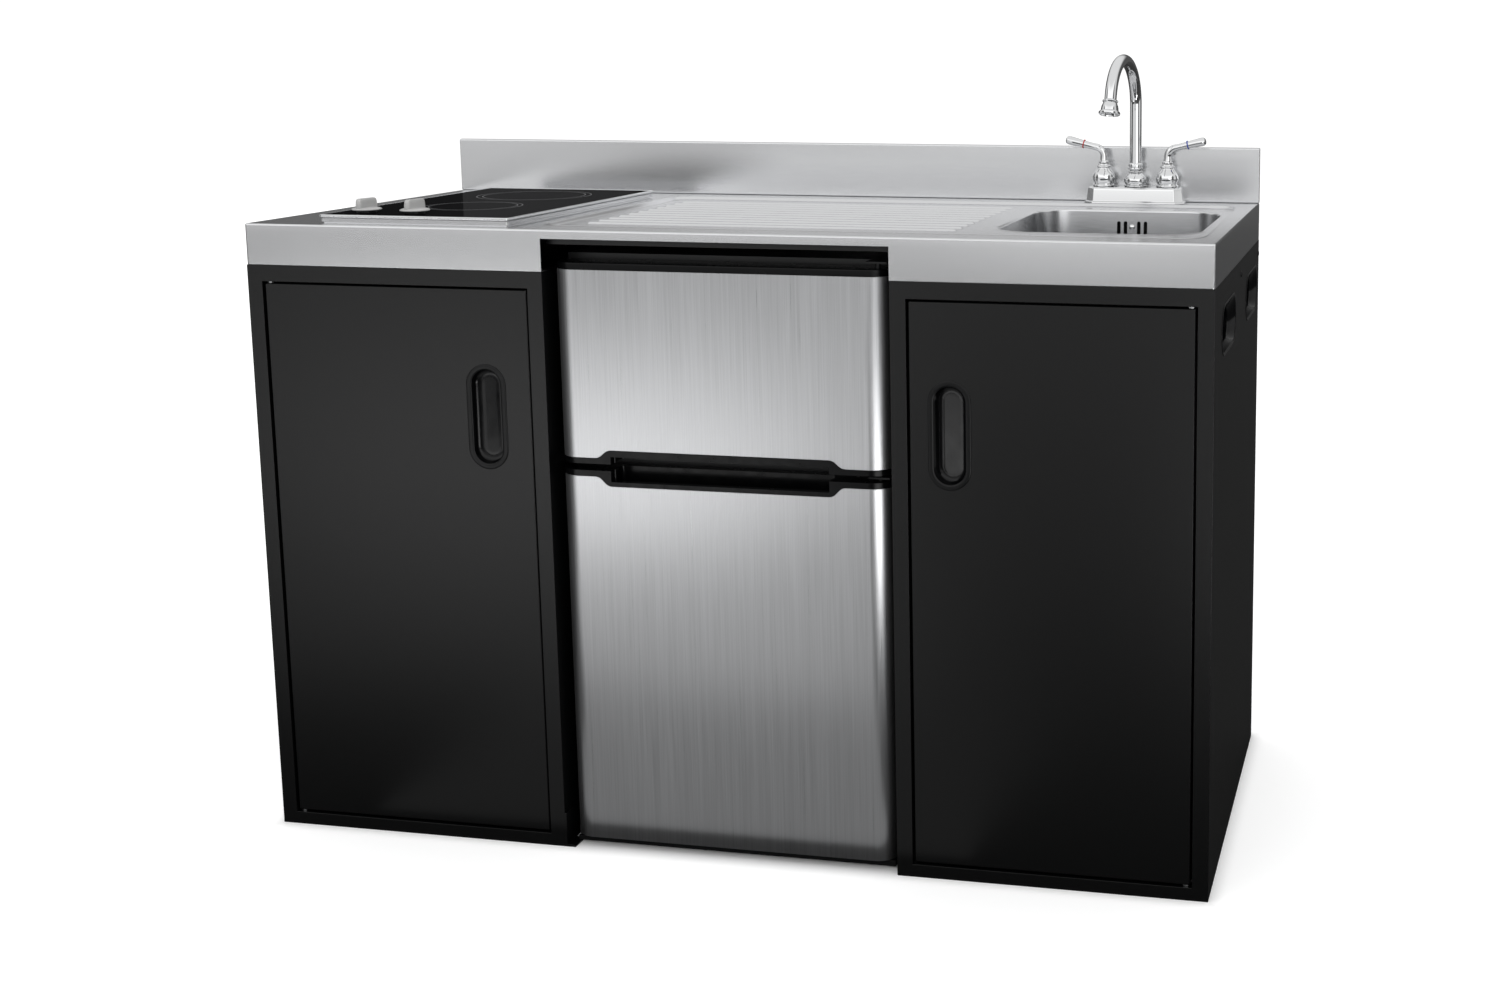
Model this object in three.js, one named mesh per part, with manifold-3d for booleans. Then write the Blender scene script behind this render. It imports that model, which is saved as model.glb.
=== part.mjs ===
// Kitchenette unit: two powder-coated steel cabinets under one stainless worktop with a
// pressed drainer, a sink bowl with a two-handle tap, a two-zone glass hob and an
// under-counter refrigerator with a separate freezer door.
// Millimetres. X runs left to right, Y from the front to the wall, Z up from the floor.
import * as THREE from 'three';
import { mergeVertices } from 'three/addons/utils/BufferGeometryUtils.js';
import Module from 'manifold-3d';

const wasm = await Module();
wasm.setup();

// ---------------------------------------------------------------- driving dimensions
// Whole unit
const unitWidth = 1372;
const unitDepth = 610;
const worktopHeight = 888;
const sheet = 1.5;
const seat = 0.3;
const overcut = 1;

// Cabinets
const leftCabinetWidth = 447;
const rightCabinetWidth = 432;
const fasciaHeight = 58.5;
const stile = 22;
const topRail = 23;
const bottomRail = 18;
const jambDepth = 36;
const topFlange = 18;

// Cabinet doors, their recessed pulls, pivot pins and catches
const doorGap = 3;
const doorInset = 2;
const doorDepth = 20;
const doorReturn = 12;
const doorBevel = 1.2;
const pivotInset = 6;
const pivotPinRadius = 2.5;
const pivotCollarRadius = 4.5;
const pivotPinReach = 14;
const pullWidth = 43;
const pullHeight = 133;
const pullRim = 8;
const pullRimThickness = 1.2;
const pullDepth = 17;
const pullWall = 1.4;
const pullCentreHeight = 624;
const leftPullFromLatchEdge = 66;
const rightPullFromLatchEdge = 55;
const catchWidth = 14;
const catchDepth = 13;
const catchHeight = 40;
const catchCentreHeight = 410;

// Lifting recesses in the outer sides
const gripLength = 177;
const gripHeight = 72;
const gripMouthLength = 139;
const gripMouthHeight = 43;
const gripDepth = 34;
const gripWall = 1.5;
const gripBelowTop = 69.5;
const gripMouthDrop = 6;
const frontGripFromFront = 168.5;
const rearGripFromFront = 492;
const gripFlange = 8;

// Refrigerator bay fittings
const bayLipHeight = 12.5;
const bayRailDepth = 28;
const bayRailHeight = 16;
const bracketFoot = 15;
const bracketHeight = 50;
const bracketDepth = 30;

// Worktop with its pressed drainer
const returnFlange = 18;
const recessFromHob = 27;
const recessRightMargin = 25;
const recessFront = 57;
const recessBackMargin = 68;
const recessRadius = 30;
const recessDepth = 4;
const recessSlope = 4;
const ribCount = 11;
const ribFrontMargin = 73;
const ribBackMargin = 69;
const ribLeftMargin = 36;
const ribBowlMargin = 45;
const ribWidth = 11;
const ribCrest = 4;
const ribHeight = 2.6;

// Backsplash
const backsplashHeight = 87.5;
const backsplashThickness = 12;

// Sink bowl, overflow and waste
const bowlRightMargin = 42;
const bowlBackShift = 9;
const bowlWidth = 285;
const bowlLength = 347;
const bowlRadius = 60;
const bowlDepth = 150;
const bowlDraft = 9;
const bowlFillet = 24;
const bowlFlange = 11;
const overflowSlotWidth = 3.4;
const overflowSlotHeight = 20;
const overflowSlotPitch = 10;
const overflowDrop = 31;
const overflowBoxWidth = 64;
const overflowBoxHeight = 44;
const overflowBoxDepth = 16;
const overflowPipeRadius = 9;
const drainHoleRadius = 27;
const drainFlangeRadius = 42;
const drainFlangeThickness = 1.4;
const drainBodyRadius = 32;
const drainBodyHeight = 34;
const wastePipeRadius = 19;
const wasteWall = 2.5;
const tailLength = 44;
const trapBend = 42;
const trapDrop = 70;
const strainerRim = 30;
const strainerDepth = 16;
const plumbingHoleWidth = 150;
const plumbingHoleHeight = 300;
const plumbingHoleBottom = 400;

// Centre-set tap
const tapFromBowlCentre = 9.5;
const tapFromWall = 39;
const tapSpacing = 51;
const tapBaseWidth = 160;
const tapBaseDepth = 50;
const tapBaseHeight = 26;
const tapBaseChamfer = 14;
const tapBaseLip = 3;
const bellRadius = 18;
const bellHeight = 36;
const bellNeckRadius = 8.5;
const spoutRadius = 9.3;
const spoutReach = 140;
const spoutTop = 1122.5;
const spoutTurn = 7;
const spoutSweep = 167;
const spoutStraightEnd = 4;
const aeratorLength = 23;
const aeratorRadius = 16.5;
const leverRise = 26;
const leverReach = 60;
const leverTilt = 13;
const leverStemRadius = 5.6;
const leverTipRadius = 8.6;
const shankRadius = 10.5;
const shankLength = 48;
const shankNutRadius = 17;

// Glass hob
const hobLeft = 101;
const hobFront = 21;
const hobWidth = 290;
const hobDepth = 490;
const hobHeight = 12.5;
const hobFlangeThickness = 2.4;
const hobFlangeWidth = 16;
const hobRimHeight = 5;
const hobRimWidth = 3.5;
const hobNeckInset = 6;
const hobCorner = 6;
const glassThickness = 4;
const hobLedge = 9;
const hobPanInset = 15;
const hobCutOutPlay = 2;
const hobPanDepth = 62;
const terminalBoxWidth = 80;
const terminalBoxLength = 60;
const terminalBoxDrop = 22;
const zoneFromHobLeft = 144;
const frontZoneFromHobFront = 171;
const rearZoneFromHobFront = 362;
const frontZoneRadius = 70;
const rearZoneRadius = 87;
const elementHeight = 30;
const elementRailHeight = 6;
const knobFromHobFront = 46;
const knobFromHobLeft = 48;
const knobSpacing = 75;
const knobTurn = 12;
const knobSkirtRadius = 20.5;
const knobHeight = 20;
const knobGripLength = 36;
const knobGripWidth = 10;
const knobShaftRadius = 3;
const knobShaftLength = 16;
const knobLift = 3.2;
const knobBossRadius = 14;
const regulatorWidth = 40;
const regulatorDepth = 32;

// Refrigerator
const fridgeLeftClearance = 8;
const fridgeRightClearance = 5;
const fridgeTopGap = 38;
const fridgeBottom = 25;
const fridgeBackGap = 50;
const fridgeDoorFront = 8;
const fridgeDoorDepth = 48;
const gasketDepth = 10;
const fridgeWall = 38;
const fridgeBackWall = 40;
const freezerFloorThickness = 64;
const fridgeFloor = 68;
const machineRoomDepth = 165;
const machineRoomTop = 228;
const stepWall = 45;
const machineRoomWall = 2;
const doorNose = 30;
const doorTopGap = 7;
const freezerDoorHeight = 280.5;
const doorSplitGap = 9.5;
const upperTrimHeight = 8;
const upperTrimHeightMiddle = 19.5;
const lowerTrimHeight = 8.5;
const lowerTrimHeightMiddle = 22;
const fridgeDoorBottom = 14;
const handleLeftInset = 74;
const handleRightInset = 80;
const handleSlant = 19;
const scoopWall = 2.5;
const scoopReach = 22;
const scoopFront = 10.5;
const scoopBack = 36;
const upperLipHeight = 9;
const lowerLipHeight = 6.5;
const dikeInset = 50;
const dikeWall = 10;
const dikeDepth = 32;
const linerRecess = 8;
const rackFloor = 3;
const rackLip = 34;
const middleRackHeight = 290;
const rackInset = 12;
const gasketInset = 20;
const gasketWidth = 14;
const hingePivotInset = 18;
const hingePivotDepth = 20;
const hingePinRadius = 4;
const hingePinReach = 20;
const hingePlate = 2.5;
const hingePlateWidth = 30;
const hingePlateFront = 10;
const topHingeReach = 50;
const hingeTabInset = 3;
const hingeTabWidth = 14;
const hingeTabHeight = 34;
const shelfHeight = 300;
const shelfThickness = 4;
const shelfLedge = 8;
const shelfFront = 112;
const crisperHeight = 126;
const crisperWall = 2.5;
const crisperFront = 100;
const crisperLip = 7;
const crisperLipInset = 110;
const plinthInset = 3;
const plinthFront = 20;
const plinthHeight = 9.5;
const runnerWidth = 30;
const machineRoomFloor = 6;
const footInset = 20;
const footRadius = 14;
const footHeight = 3;
const compressorRadius = 60;
const compressorHeight = 165;
const compressorFlange = 5;
const compressorSideShift = 60;
const compressorFoot = 50;
const thermostatWidth = 80;
const thermostatHeight = 70;
const thermostatDepth = 40;
const thermostatFromDoor = 124;
const thermostatDrop = 24;
const thermostatBevel = 5;
const dialShaftRadius = 4;
const dialShaftLength = 7;
const dialRadius = 19;
const dialDepth = 11;
const dialBarWidth = 6;

// ---------------------------------------------------------------- derived places
const cabinetHeight = worktopHeight - fasciaHeight;
const bayLeft = leftCabinetWidth;
const bayRight = unitWidth - rightCabinetWidth;
const doorTop = cabinetHeight - topRail - doorGap;
const doorBottom = bottomRail + doorGap;
const gripCentreHeight = cabinetHeight - gripBelowTop;

const recessLeft = hobLeft + hobWidth + recessFromHob;
const recessRight = unitWidth - recessRightMargin;
const recessBack = unitDepth - recessBackMargin;
const recessFloor = worktopHeight - recessDepth;
const bowlCentreX = unitWidth - bowlRightMargin - bowlWidth / 2;
const bowlCentreY = (recessFront + recessBack) / 2 + bowlBackShift;
const bowlRim = recessFloor - sheet;
const bowlFloor = bowlRim - bowlDepth;
const drainSeat = bowlFloor + seat + drainFlangeThickness;
const firstRib = recessFront + ribFrontMargin;
const ribPitch = (recessBack - ribBackMargin - firstRib) / (ribCount - 1);
const ribLeft = recessLeft + ribLeftMargin;
const ribRight = bowlCentreX - bowlWidth / 2 - ribBowlMargin;
const tapCentreX = bowlCentreX - tapFromBowlCentre;
const tapCentreY = unitDepth - tapFromWall;
const tapBaseTop = worktopHeight + tapBaseHeight;
const trapTop = bowlFloor - drainBodyHeight - tailLength;

const glassTop = worktopHeight + hobHeight;
const zoneX = hobLeft + zoneFromHobLeft;
const frontZoneY = hobFront + frontZoneFromHobFront;
const rearZoneY = hobFront + rearZoneFromHobFront;
const knobY = hobFront + knobFromHobFront;
const leftKnobX = hobLeft + knobFromHobLeft;
const rightKnobX = leftKnobX + knobSpacing;

const fridgeLeft = bayLeft + fridgeLeftClearance;
const fridgeRight = bayRight - fridgeRightClearance;
const fridgeTop = worktopHeight - fridgeTopGap;
const fridgeBack = unitDepth - fridgeBackGap;
const fridgeDoorBack = fridgeDoorFront + fridgeDoorDepth;
const fridgeFront = fridgeDoorBack + gasketDepth;
const freezerDoorTop = fridgeTop - doorTopGap;
const upperTrimBottom = freezerDoorTop - freezerDoorHeight;
const upperSteelEdge = upperTrimBottom + upperTrimHeight;
const upperSteelEdgeMiddle = upperTrimBottom + upperTrimHeightMiddle;
const upperLipBottom = upperSteelEdgeMiddle - upperLipHeight;
const lowerTrimTop = upperTrimBottom - doorSplitGap;
const lowerSteelEdge = lowerTrimTop - lowerTrimHeight;
const lowerSteelEdgeMiddle = lowerTrimTop - lowerTrimHeightMiddle;
const lowerLipTop = lowerSteelEdgeMiddle + lowerLipHeight;
const handleLeft = fridgeLeft + handleLeftInset;
const handleRight = fridgeRight - handleRightInset;
const freezerCeiling = fridgeTop - fridgeWall;
const fridgeCeiling = lowerTrimTop - fridgeWall / 2;
const freezerFloor = fridgeCeiling + freezerFloorThickness;
const machineRoomFront = fridgeBack - machineRoomDepth;
const stepFront = machineRoomFront - stepWall;
const stepTop = machineRoomTop + fridgeBackWall;
const pivotX = fridgeRight - hingePivotInset;
const pivotY = fridgeDoorFront + hingePivotDepth;

// ---------------------------------------------------------------- materials
function finish(color, roughness, metalness) {
  return () => new THREE.MeshStandardMaterial({ color, roughness, metalness });
}
const powderBlack = finish(0x1b1c1e, 0.55, 0.2);
const blackPlastic = finish(0x1d1e20, 0.45, 0);
const stainless = finish(0xb9bbbd, 0.32, 1);
const brushedDoor = finish(0x9fa2a6, 0.35, 1);
const chrome = finish(0xe8e9ea, 0.06, 1);
const blackGlass = finish(0x0b0b0c, 0.08, 0);
const whiteKnob = finish(0xe9e9e7, 0.4, 0);
const whiteLiner = finish(0xeceeee, 0.35, 0);
const greyRubber = finish(0x4a4b4d, 0.8, 0);
const clearGlass = finish(0xcfe0dc, 0.05, 0);
const frostedPlastic = finish(0xdfe6ea, 0.2, 0);
const zincSteel = finish(0x9a9c9e, 0.4, 1);
const greyPlastic = finish(0xc9cacb, 0.5, 0);
const blackEnamel = finish(0x121214, 0.35, 0.3);
const heaterWhite = finish(0xd8d2c4, 0.9, 0);

// ---------------------------------------------------------------- geometry tools
// A closed, outward-facing body: positions only, shared vertices merged, no zero-area faces.
function closed(geometry) {
  const bare = new THREE.BufferGeometry();
  bare.setAttribute('position', geometry.getAttribute('position').clone());
  if (geometry.index) bare.setIndex(geometry.index.clone());
  const merged = mergeVertices(bare, 1e-4);
  const corner = merged.getAttribute('position');
  const kept = [];
  let volume = 0;
  const [a, b, c] = [new THREE.Vector3(), new THREE.Vector3(), new THREE.Vector3()];
  for (let i = 0; i < merged.index.count; i += 3) {
    const [p, q, r] = [0, 1, 2].map((k) => merged.index.getX(i + k));
    if (p === q || q === r || r === p) continue;
    kept.push([p, q, r]);
    a.fromBufferAttribute(corner, p);
    b.fromBufferAttribute(corner, q);
    c.fromBufferAttribute(corner, r);
    volume += a.dot(b.cross(c));
  }
  merged.setIndex(kept.map((face) => (volume < 0 ? face.reverse() : face)).flat());
  merged.computeVertexNormals();
  return merged;
}

// A three.js geometry as a solid that can be cut and joined.
function solid(geometry) {
  const body = closed(geometry);
  return new wasm.Manifold(new wasm.Mesh({
    numProp: 3,
    vertProperties: new Float32Array(body.getAttribute('position').array),
    triVerts: new Uint32Array(body.index.array),
  }));
}

// A cut solid as a three.js geometry again.
function geometryOf(body) {
  const mesh = body.getMesh();
  const geometry = new THREE.BufferGeometry();
  geometry.setAttribute('position', new THREE.BufferAttribute(mesh.vertProperties, 3));
  geometry.setIndex(new THREE.BufferAttribute(mesh.triVerts, 1));
  geometry.computeVertexNormals();
  return geometry;
}

function joined(first, ...others) {
  return others.reduce((sum, piece) => sum.add(piece), first);
}

function cut(first, ...tools) {
  return tools.reduce((rest, tool) => rest.subtract(tool), first);
}

function block(x0, x1, y0, y1, z0, z1) {
  const geometry = new THREE.BoxGeometry(x1 - x0, y1 - y0, z1 - z0);
  geometry.translate((x0 + x1) / 2, (y0 + y1) / 2, (z0 + z1) / 2);
  return solid(geometry);
}

const alongX = new THREE.Vector3(1, 0, 0);
const alongY = new THREE.Vector3(0, 1, 0);
const alongZ = new THREE.Vector3(0, 0, 1);

// Outlines lie in (y, z) for axis x, in (x, z) for axis y and in (x, y) for axis z.
const frames = {
  x: new THREE.Matrix4().makeBasis(alongY, alongZ, alongX),
  y: new THREE.Matrix4().makeBasis(alongX, alongZ, alongY.clone().negate()),
  z: new THREE.Matrix4(),
};

function prism(shape, axis, from, to) {
  const geometry = new THREE.ExtrudeGeometry(shape, {
    depth: to - from,
    bevelEnabled: false,
    curveSegments: 6,
  });
  geometry.applyMatrix4(frames[axis]);
  const start = axis === 'y' ? to : from;
  geometry.translate(...[alongX, alongY, alongZ]['xyz'.indexOf(axis)].toArray().map((v) => v * start));
  return solid(geometry);
}

function polygon(points) {
  return new THREE.Shape(points.map(([u, v]) => new THREE.Vector2(u, v)));
}

// A rounded rectangle as a list of points, counter-clockwise.
function roundedOutline(u0, u1, v0, v1, radius, steps = 5) {
  const r = Math.min(radius, (u1 - u0) / 2, (v1 - v0) / 2);
  const corners = [[u1 - r, v0 + r, -90], [u1 - r, v1 - r, 0], [u0 + r, v1 - r, 90], [u0 + r, v0 + r, 180]];
  const points = [];
  for (const [u, v, start] of corners) {
    for (let i = 0; i <= steps; i += 1) {
      const angle = THREE.MathUtils.degToRad(start + (90 * i) / steps);
      points.push([u + r * Math.cos(angle), v + r * Math.sin(angle)]);
    }
  }
  return points;
}

function centredOutline(u, v, width, height, radius, steps = 5) {
  return roundedOutline(u - width / 2, u + width / 2, v - height / 2, v + height / 2, radius, steps);
}

function circleOutline(u, v, radius, sides = 24) {
  const points = [];
  for (let i = 0; i < sides; i += 1) {
    const angle = (2 * Math.PI * i) / sides;
    points.push([u + radius * Math.cos(angle), v + radius * Math.sin(angle)]);
  }
  return points;
}

function roundedPrism(axis, from, to, u0, u1, v0, v1, radius, steps = 5) {
  return prism(polygon(roundedOutline(u0, u1, v0, v1, radius, steps)), axis, from, to);
}

function rod(axis, from, to, u, v, radius, sides = 16) {
  return prism(polygon(circleOutline(u, v, radius, sides)), axis, from, to);
}

// Places an outline as a ring at a station along an axis.
function station(axis, at, outline) {
  if (axis === 'x') return outline.map(([y, z]) => new THREE.Vector3(at, y, z));
  if (axis === 'y') return outline.map(([x, z]) => new THREE.Vector3(x, at, z));
  return outline.map(([x, y]) => new THREE.Vector3(x, y, at));
}

// A body skinned through rings of equal point counts, closed by a fan at each end.
function loftGeometry(rings) {
  const count = rings[0].length;
  const vertices = rings.flat();
  const faces = [];
  for (let i = 0; i < rings.length - 1; i += 1) {
    for (let j = 0; j < count; j += 1) {
      const [a, b] = [i * count + j, i * count + ((j + 1) % count)];
      faces.push(a, b, b + count, a, b + count, a + count);
    }
  }
  const ends = [[rings[0], 0, true], [rings.at(-1), (rings.length - 1) * count, false]];
  for (const [ring, first, flip] of ends) {
    const middle = ring.reduce((sum, point) => sum.add(point), new THREE.Vector3()).divideScalar(count);
    vertices.push(middle);
    for (let j = 0; j < count; j += 1) {
      const [a, b] = [first + j, first + ((j + 1) % count)];
      faces.push(...(flip ? [b, a, vertices.length - 1] : [a, b, vertices.length - 1]));
    }
  }
  const geometry = new THREE.BufferGeometry().setFromPoints(vertices);
  geometry.setIndex(faces);
  return geometry;
}

function loft(rings) {
  return solid(loftGeometry(rings));
}

// A body turned about a vertical axis through (x, y); the profile is a list of [radius, height].
function turned(profile, x = 0, y = 0, segments = 16) {
  const points = profile.map(([radius, height]) => new THREE.Vector2(radius, height));
  const geometry = new THREE.LatheGeometry(points, segments);
  geometry.rotateX(Math.PI / 2);
  geometry.translate(x, y, 0);
  return solid(geometry);
}

// A round bar or pipe along a smooth path.
function tube(points, radius, sides, steps) {
  const path = new THREE.CatmullRomCurve3(points, false, 'centripetal');
  const section = polygon(circleOutline(0, 0, radius, sides));
  return solid(new THREE.ExtrudeGeometry(section, { extrudePath: path, steps, curveSegments: 1 }));
}

// Points of an arc in the (forward, up) plane, as [forward, up].
function arc(forward, up, radius, fromDegrees, toDegrees, steps) {
  const points = [];
  for (let i = 0; i <= steps; i += 1) {
    const angle = THREE.MathUtils.degToRad(fromDegrees + ((toDegrees - fromDegrees) * i) / steps);
    points.push([forward + radius * Math.cos(angle), up + radius * Math.sin(angle)]);
  }
  return points;
}

// ---------------------------------------------------------------- cabinets
function doorOpening(x0, x1) {
  return { left: x0 + stile, right: x1 - stile, bottom: bottomRail, top: cabinetHeight - topRail };
}

function doorPivotX(door) {
  return door.hingeSide === 'left' ? door.left + pivotInset : door.right - pivotInset;
}

// The door that fills a cabinet's opening, with the place of its recessed pull.
function doorPlan(x0, x1, hingeSide, pullFromLatchEdge) {
  const opening = doorOpening(x0, x1);
  const door = { left: opening.left + doorGap, right: opening.right - doorGap, hingeSide };
  door.pullX = hingeSide === 'left' ? door.right - pullFromLatchEdge : door.left + pullFromLatchEdge;
  door.latchX = hingeSide === 'left' ? opening.right : opening.left;
  return door;
}

// Folded wrap of sides, back and front frame, with a deep jamb round the door and a top flange.
function carcass(x0, x1, door, outerSideX) {
  const opening = doorOpening(x0, x1);
  const walls = cut(
    block(x0, x1, 0, unitDepth, 0, cabinetHeight),
    block(x0 + sheet, x1 - sheet, sheet, unitDepth - sheet, -overcut, cabinetHeight + overcut),
  );
  const flange = cut(
    block(x0, x1, 0, unitDepth, cabinetHeight - sheet, cabinetHeight),
    block(x0 + topFlange, x1 - topFlange, topFlange, unitDepth - topFlange,
      cabinetHeight - sheet - overcut, cabinetHeight + overcut),
  );
  const jamb = block(opening.left - sheet, opening.right + sheet, 0, jambDepth,
    opening.bottom - sheet, opening.top + sheet);
  const doorway = block(opening.left, opening.right, -overcut, jambDepth + overcut,
    opening.bottom, opening.top);
  const pinHole = rod('z', opening.bottom - sheet - overcut, opening.top + sheet + overcut,
    doorPivotX(door), doorInset + pivotInset, pivotPinRadius + seat, 8);
  const grips = [frontGripFromFront, rearGripFromFront].map((y) => prism(
    polygon(centredOutline(y, gripCentreHeight, gripLength + 2 * seat, gripHeight + 2 * seat, gripHeight, 3)),
    'x', outerSideX - 2 * sheet, outerSideX + 2 * sheet,
  ));
  return cut(joined(walls, flange, jamb), doorway, pinHole, ...grips);
}

// Waste and water connections reach the wall through the right cabinet's back.
function plumbingHole() {
  return roundedPrism('y', unitDepth - 2 * sheet, unitDepth + overcut,
    bowlCentreX - plumbingHoleWidth / 2, bowlCentreX + plumbingHoleWidth / 2,
    plumbingHoleBottom, plumbingHoleBottom + plumbingHoleHeight, 20, 3);
}

// Raised floor pan, level with the bottom rail and standing on its folded edges.
function cabinetFloor(x0, x1) {
  const left = x0 + sheet + seat;
  const right = x1 - sheet - seat;
  const front = jambDepth + seat;
  const back = unitDepth - sheet - seat;
  return cut(
    block(left, right, front, back, 0, bottomRail),
    block(left + sheet, right - sheet, front + sheet, back - sheet, -overcut, bottomRail - sheet),
  );
}

// Door pressed as a pan: bevelled face, folded edges and a narrow return round the open back.
function doorPan(door) {
  const front = doorInset;
  const back = doorInset + doorDepth;
  const edge = (inset) => roundedOutline(door.left + inset, door.right - inset,
    doorBottom + inset, doorTop - inset, 1, 1);
  const outside = loft([
    station('y', front, edge(doorBevel)),
    station('y', front + doorBevel, edge(0)),
    station('y', back, edge(0)),
  ]);
  const inside = block(door.left + sheet, door.right - sheet, front + sheet, back - sheet,
    doorBottom + sheet, doorTop - sheet);
  const openBack = block(door.left + doorReturn, door.right - doorReturn, back - 2 * sheet,
    back + overcut, doorBottom + doorReturn, doorTop - doorReturn);
  const pullHole = prism(
    polygon(centredOutline(door.pullX, pullCentreHeight,
      pullWidth + 2 * pullWall + 2 * seat, pullHeight + 2 * pullWall + 2 * seat, pullHeight, 4)),
    'y', front - overcut, front + 2 * sheet,
  );
  const pinHole = rod('z', doorBottom - overcut, doorTop + overcut, doorPivotX(door),
    doorInset + pivotInset, pivotPinRadius + seat, 8);
  return cut(outside, inside, openBack, pullHole, pinHole);
}

// Moulded oval cup let into the door, with a thin rim on the face and a floor that deepens
// towards the free edge, where the fingers hook.
function doorPull(door) {
  const towardsLatch = door.hingeSide === 'left' ? 1 : -1;
  const rimBack = doorInset - seat;
  const rimFront = rimBack - pullRimThickness;
  const oval = (grow, shift = 0) => centredOutline(door.pullX + shift, pullCentreHeight,
    pullWidth + 2 * grow, pullHeight + 2 * grow, pullWidth + 2 * grow, 4);
  const rim = loft([
    station('y', rimFront, oval(pullRim - pullRimThickness)),
    station('y', rimBack, oval(pullRim)),
  ]);
  const cup = loft([
    station('y', rimFront, oval(pullWall)),
    station('y', rimFront + pullDepth, oval(pullWall)),
    station('y', rimFront + pullDepth + pullWall, oval(-pullWall)),
  ]);
  const hollow = loft([
    station('y', rimFront - overcut, oval(0)),
    station('y', rimFront + pullDepth - pullWall, oval(0)),
    station('y', rimFront + pullDepth, oval(-2 * pullWall, towardsLatch * pullWall)),
  ]);
  return cut(joined(rim, cup), hollow);
}

// Pivot pin with a washer collar that carries the door in the gap to the frame.
function pivotPin(door, atTop) {
  const edge = atTop ? doorTop : doorBottom;
  const way = atTop ? 1 : -1;
  const heights = [-pivotPinReach, seat, doorGap - seat, doorGap + sheet + 2.5].map((h) => edge + way * h);
  const profile = [
    [0, heights[0]], [pivotPinRadius, heights[0]], [pivotPinRadius, heights[1]],
    [pivotCollarRadius, heights[1]], [pivotCollarRadius, heights[2]],
    [pivotPinRadius, heights[2]], [pivotPinRadius, heights[3]], [0, heights[3]],
  ];
  return turned(profile, doorPivotX(door), doorInset + pivotInset, 8);
}

// Magnetic catch screwed to the jamb behind the door's free edge.
function doorCatch(door) {
  const inward = door.hingeSide === 'left' ? -1 : 1;
  const tip = door.latchX + inward * catchWidth;
  const [x0, x1] = [Math.min(tip, door.latchX), Math.max(tip, door.latchX)];
  const front = doorInset + doorDepth + 2 * seat;
  const [z0, z1] = [catchCentreHeight - catchHeight / 2, catchCentreHeight + catchHeight / 2];
  const body = block(x0, x1, front + 2, front + catchDepth, z0, z1);
  const poles = [z0 + 6, z1 - 10].map((z) => block(x0 + 1.5, x1 - 1.5, front, front + 3, z, z + 4));
  return joined(body, ...poles);
}

// Oval lifting recess in a cabinet side: a ramp runs in from below to a deep hollow above.
function sideGrip(centreY, outerX, inward) {
  const behindSheet = outerX + inward * (sheet + seat);
  const deep = outerX + inward * gripDepth;
  const dish = (grow) => centredOutline(centreY, gripCentreHeight, gripLength + 2 * grow,
    gripHeight + 2 * grow, gripHeight + 2 * grow, 3);
  const mouth = (grow) => centredOutline(centreY, gripCentreHeight - gripMouthDrop,
    gripMouthLength + 2 * grow, gripMouthHeight + 2 * grow, gripMouthHeight + 2 * grow, 3);
  const shell = loft([
    station('x', outerX, dish(0)),
    station('x', outerX + inward * 9, mouth(gripWall + 4)),
    station('x', deep + inward * gripWall, mouth(gripWall)),
  ]);
  const flange = prism(polygon(dish(gripFlange)), 'x',
    Math.min(behindSheet, behindSheet + inward * gripWall),
    Math.max(behindSheet, behindSheet + inward * gripWall));
  const hollow = loft([
    station('x', outerX - inward * overcut, dish(-gripWall + 0.4)),
    station('x', outerX + inward * 8, mouth(2)),
    station('x', deep, mouth(0)),
  ]);
  return cut(joined(shell, flange), hollow);
}

// Angle at the foot of the bay; the refrigerator's plinth is held down over its toe.
function bayBracket() {
  const thick = footHeight - seat;
  const outline = polygon([
    [bayLeft, 0], [bayLeft + bracketFoot, 0], [bayLeft + bracketFoot, thick],
    [bayLeft + thick, thick], [bayLeft + thick, bracketHeight], [bayLeft, bracketHeight],
  ]);
  return prism(outline, 'y', 0, bracketDepth);
}

// Folded channel under the worktop's front lip, across the refrigerator bay.
function bayRail() {
  const front = returnFlange + seat;
  const top = recessFloor - sheet - seat;
  const bottom = top - bayRailHeight;
  const outline = polygon([
    [front, bottom], [front + bayRailDepth, bottom], [front + bayRailDepth, top],
    [front + bayRailDepth - sheet, top], [front + bayRailDepth - sheet, bottom + sheet],
    [front + sheet, bottom + sheet], [front + sheet, top], [front, top],
  ]);
  return prism(outline, 'x', bayLeft, bayRight);
}

// ---------------------------------------------------------------- worktop
// Inverted tray with aprons and a return flange; the front apron is notched over the bay.
function worktopTray() {
  const [bottom, top] = [cabinetHeight, worktopHeight];
  const lip = top - bayLipHeight;
  const tray = cut(
    block(0, unitWidth, 0, unitDepth, bottom, top),
    block(sheet, unitWidth - sheet, sheet, unitDepth - sheet, bottom + sheet, top - sheet),
    block(returnFlange, unitWidth - returnFlange, returnFlange, unitDepth - returnFlange,
      bottom - overcut, bottom + 2 * sheet),
    block(bayLeft, bayRight, -overcut, returnFlange + overcut, bottom - overcut, lip),
  );
  return joined(tray, block(bayLeft, bayRight, 0, returnFlange, lip, lip + sheet));
}

function recessOutline(grow) {
  return roundedOutline(recessLeft - grow, recessRight + grow, recessFront - grow, recessBack + grow,
    recessRadius + grow);
}

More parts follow.
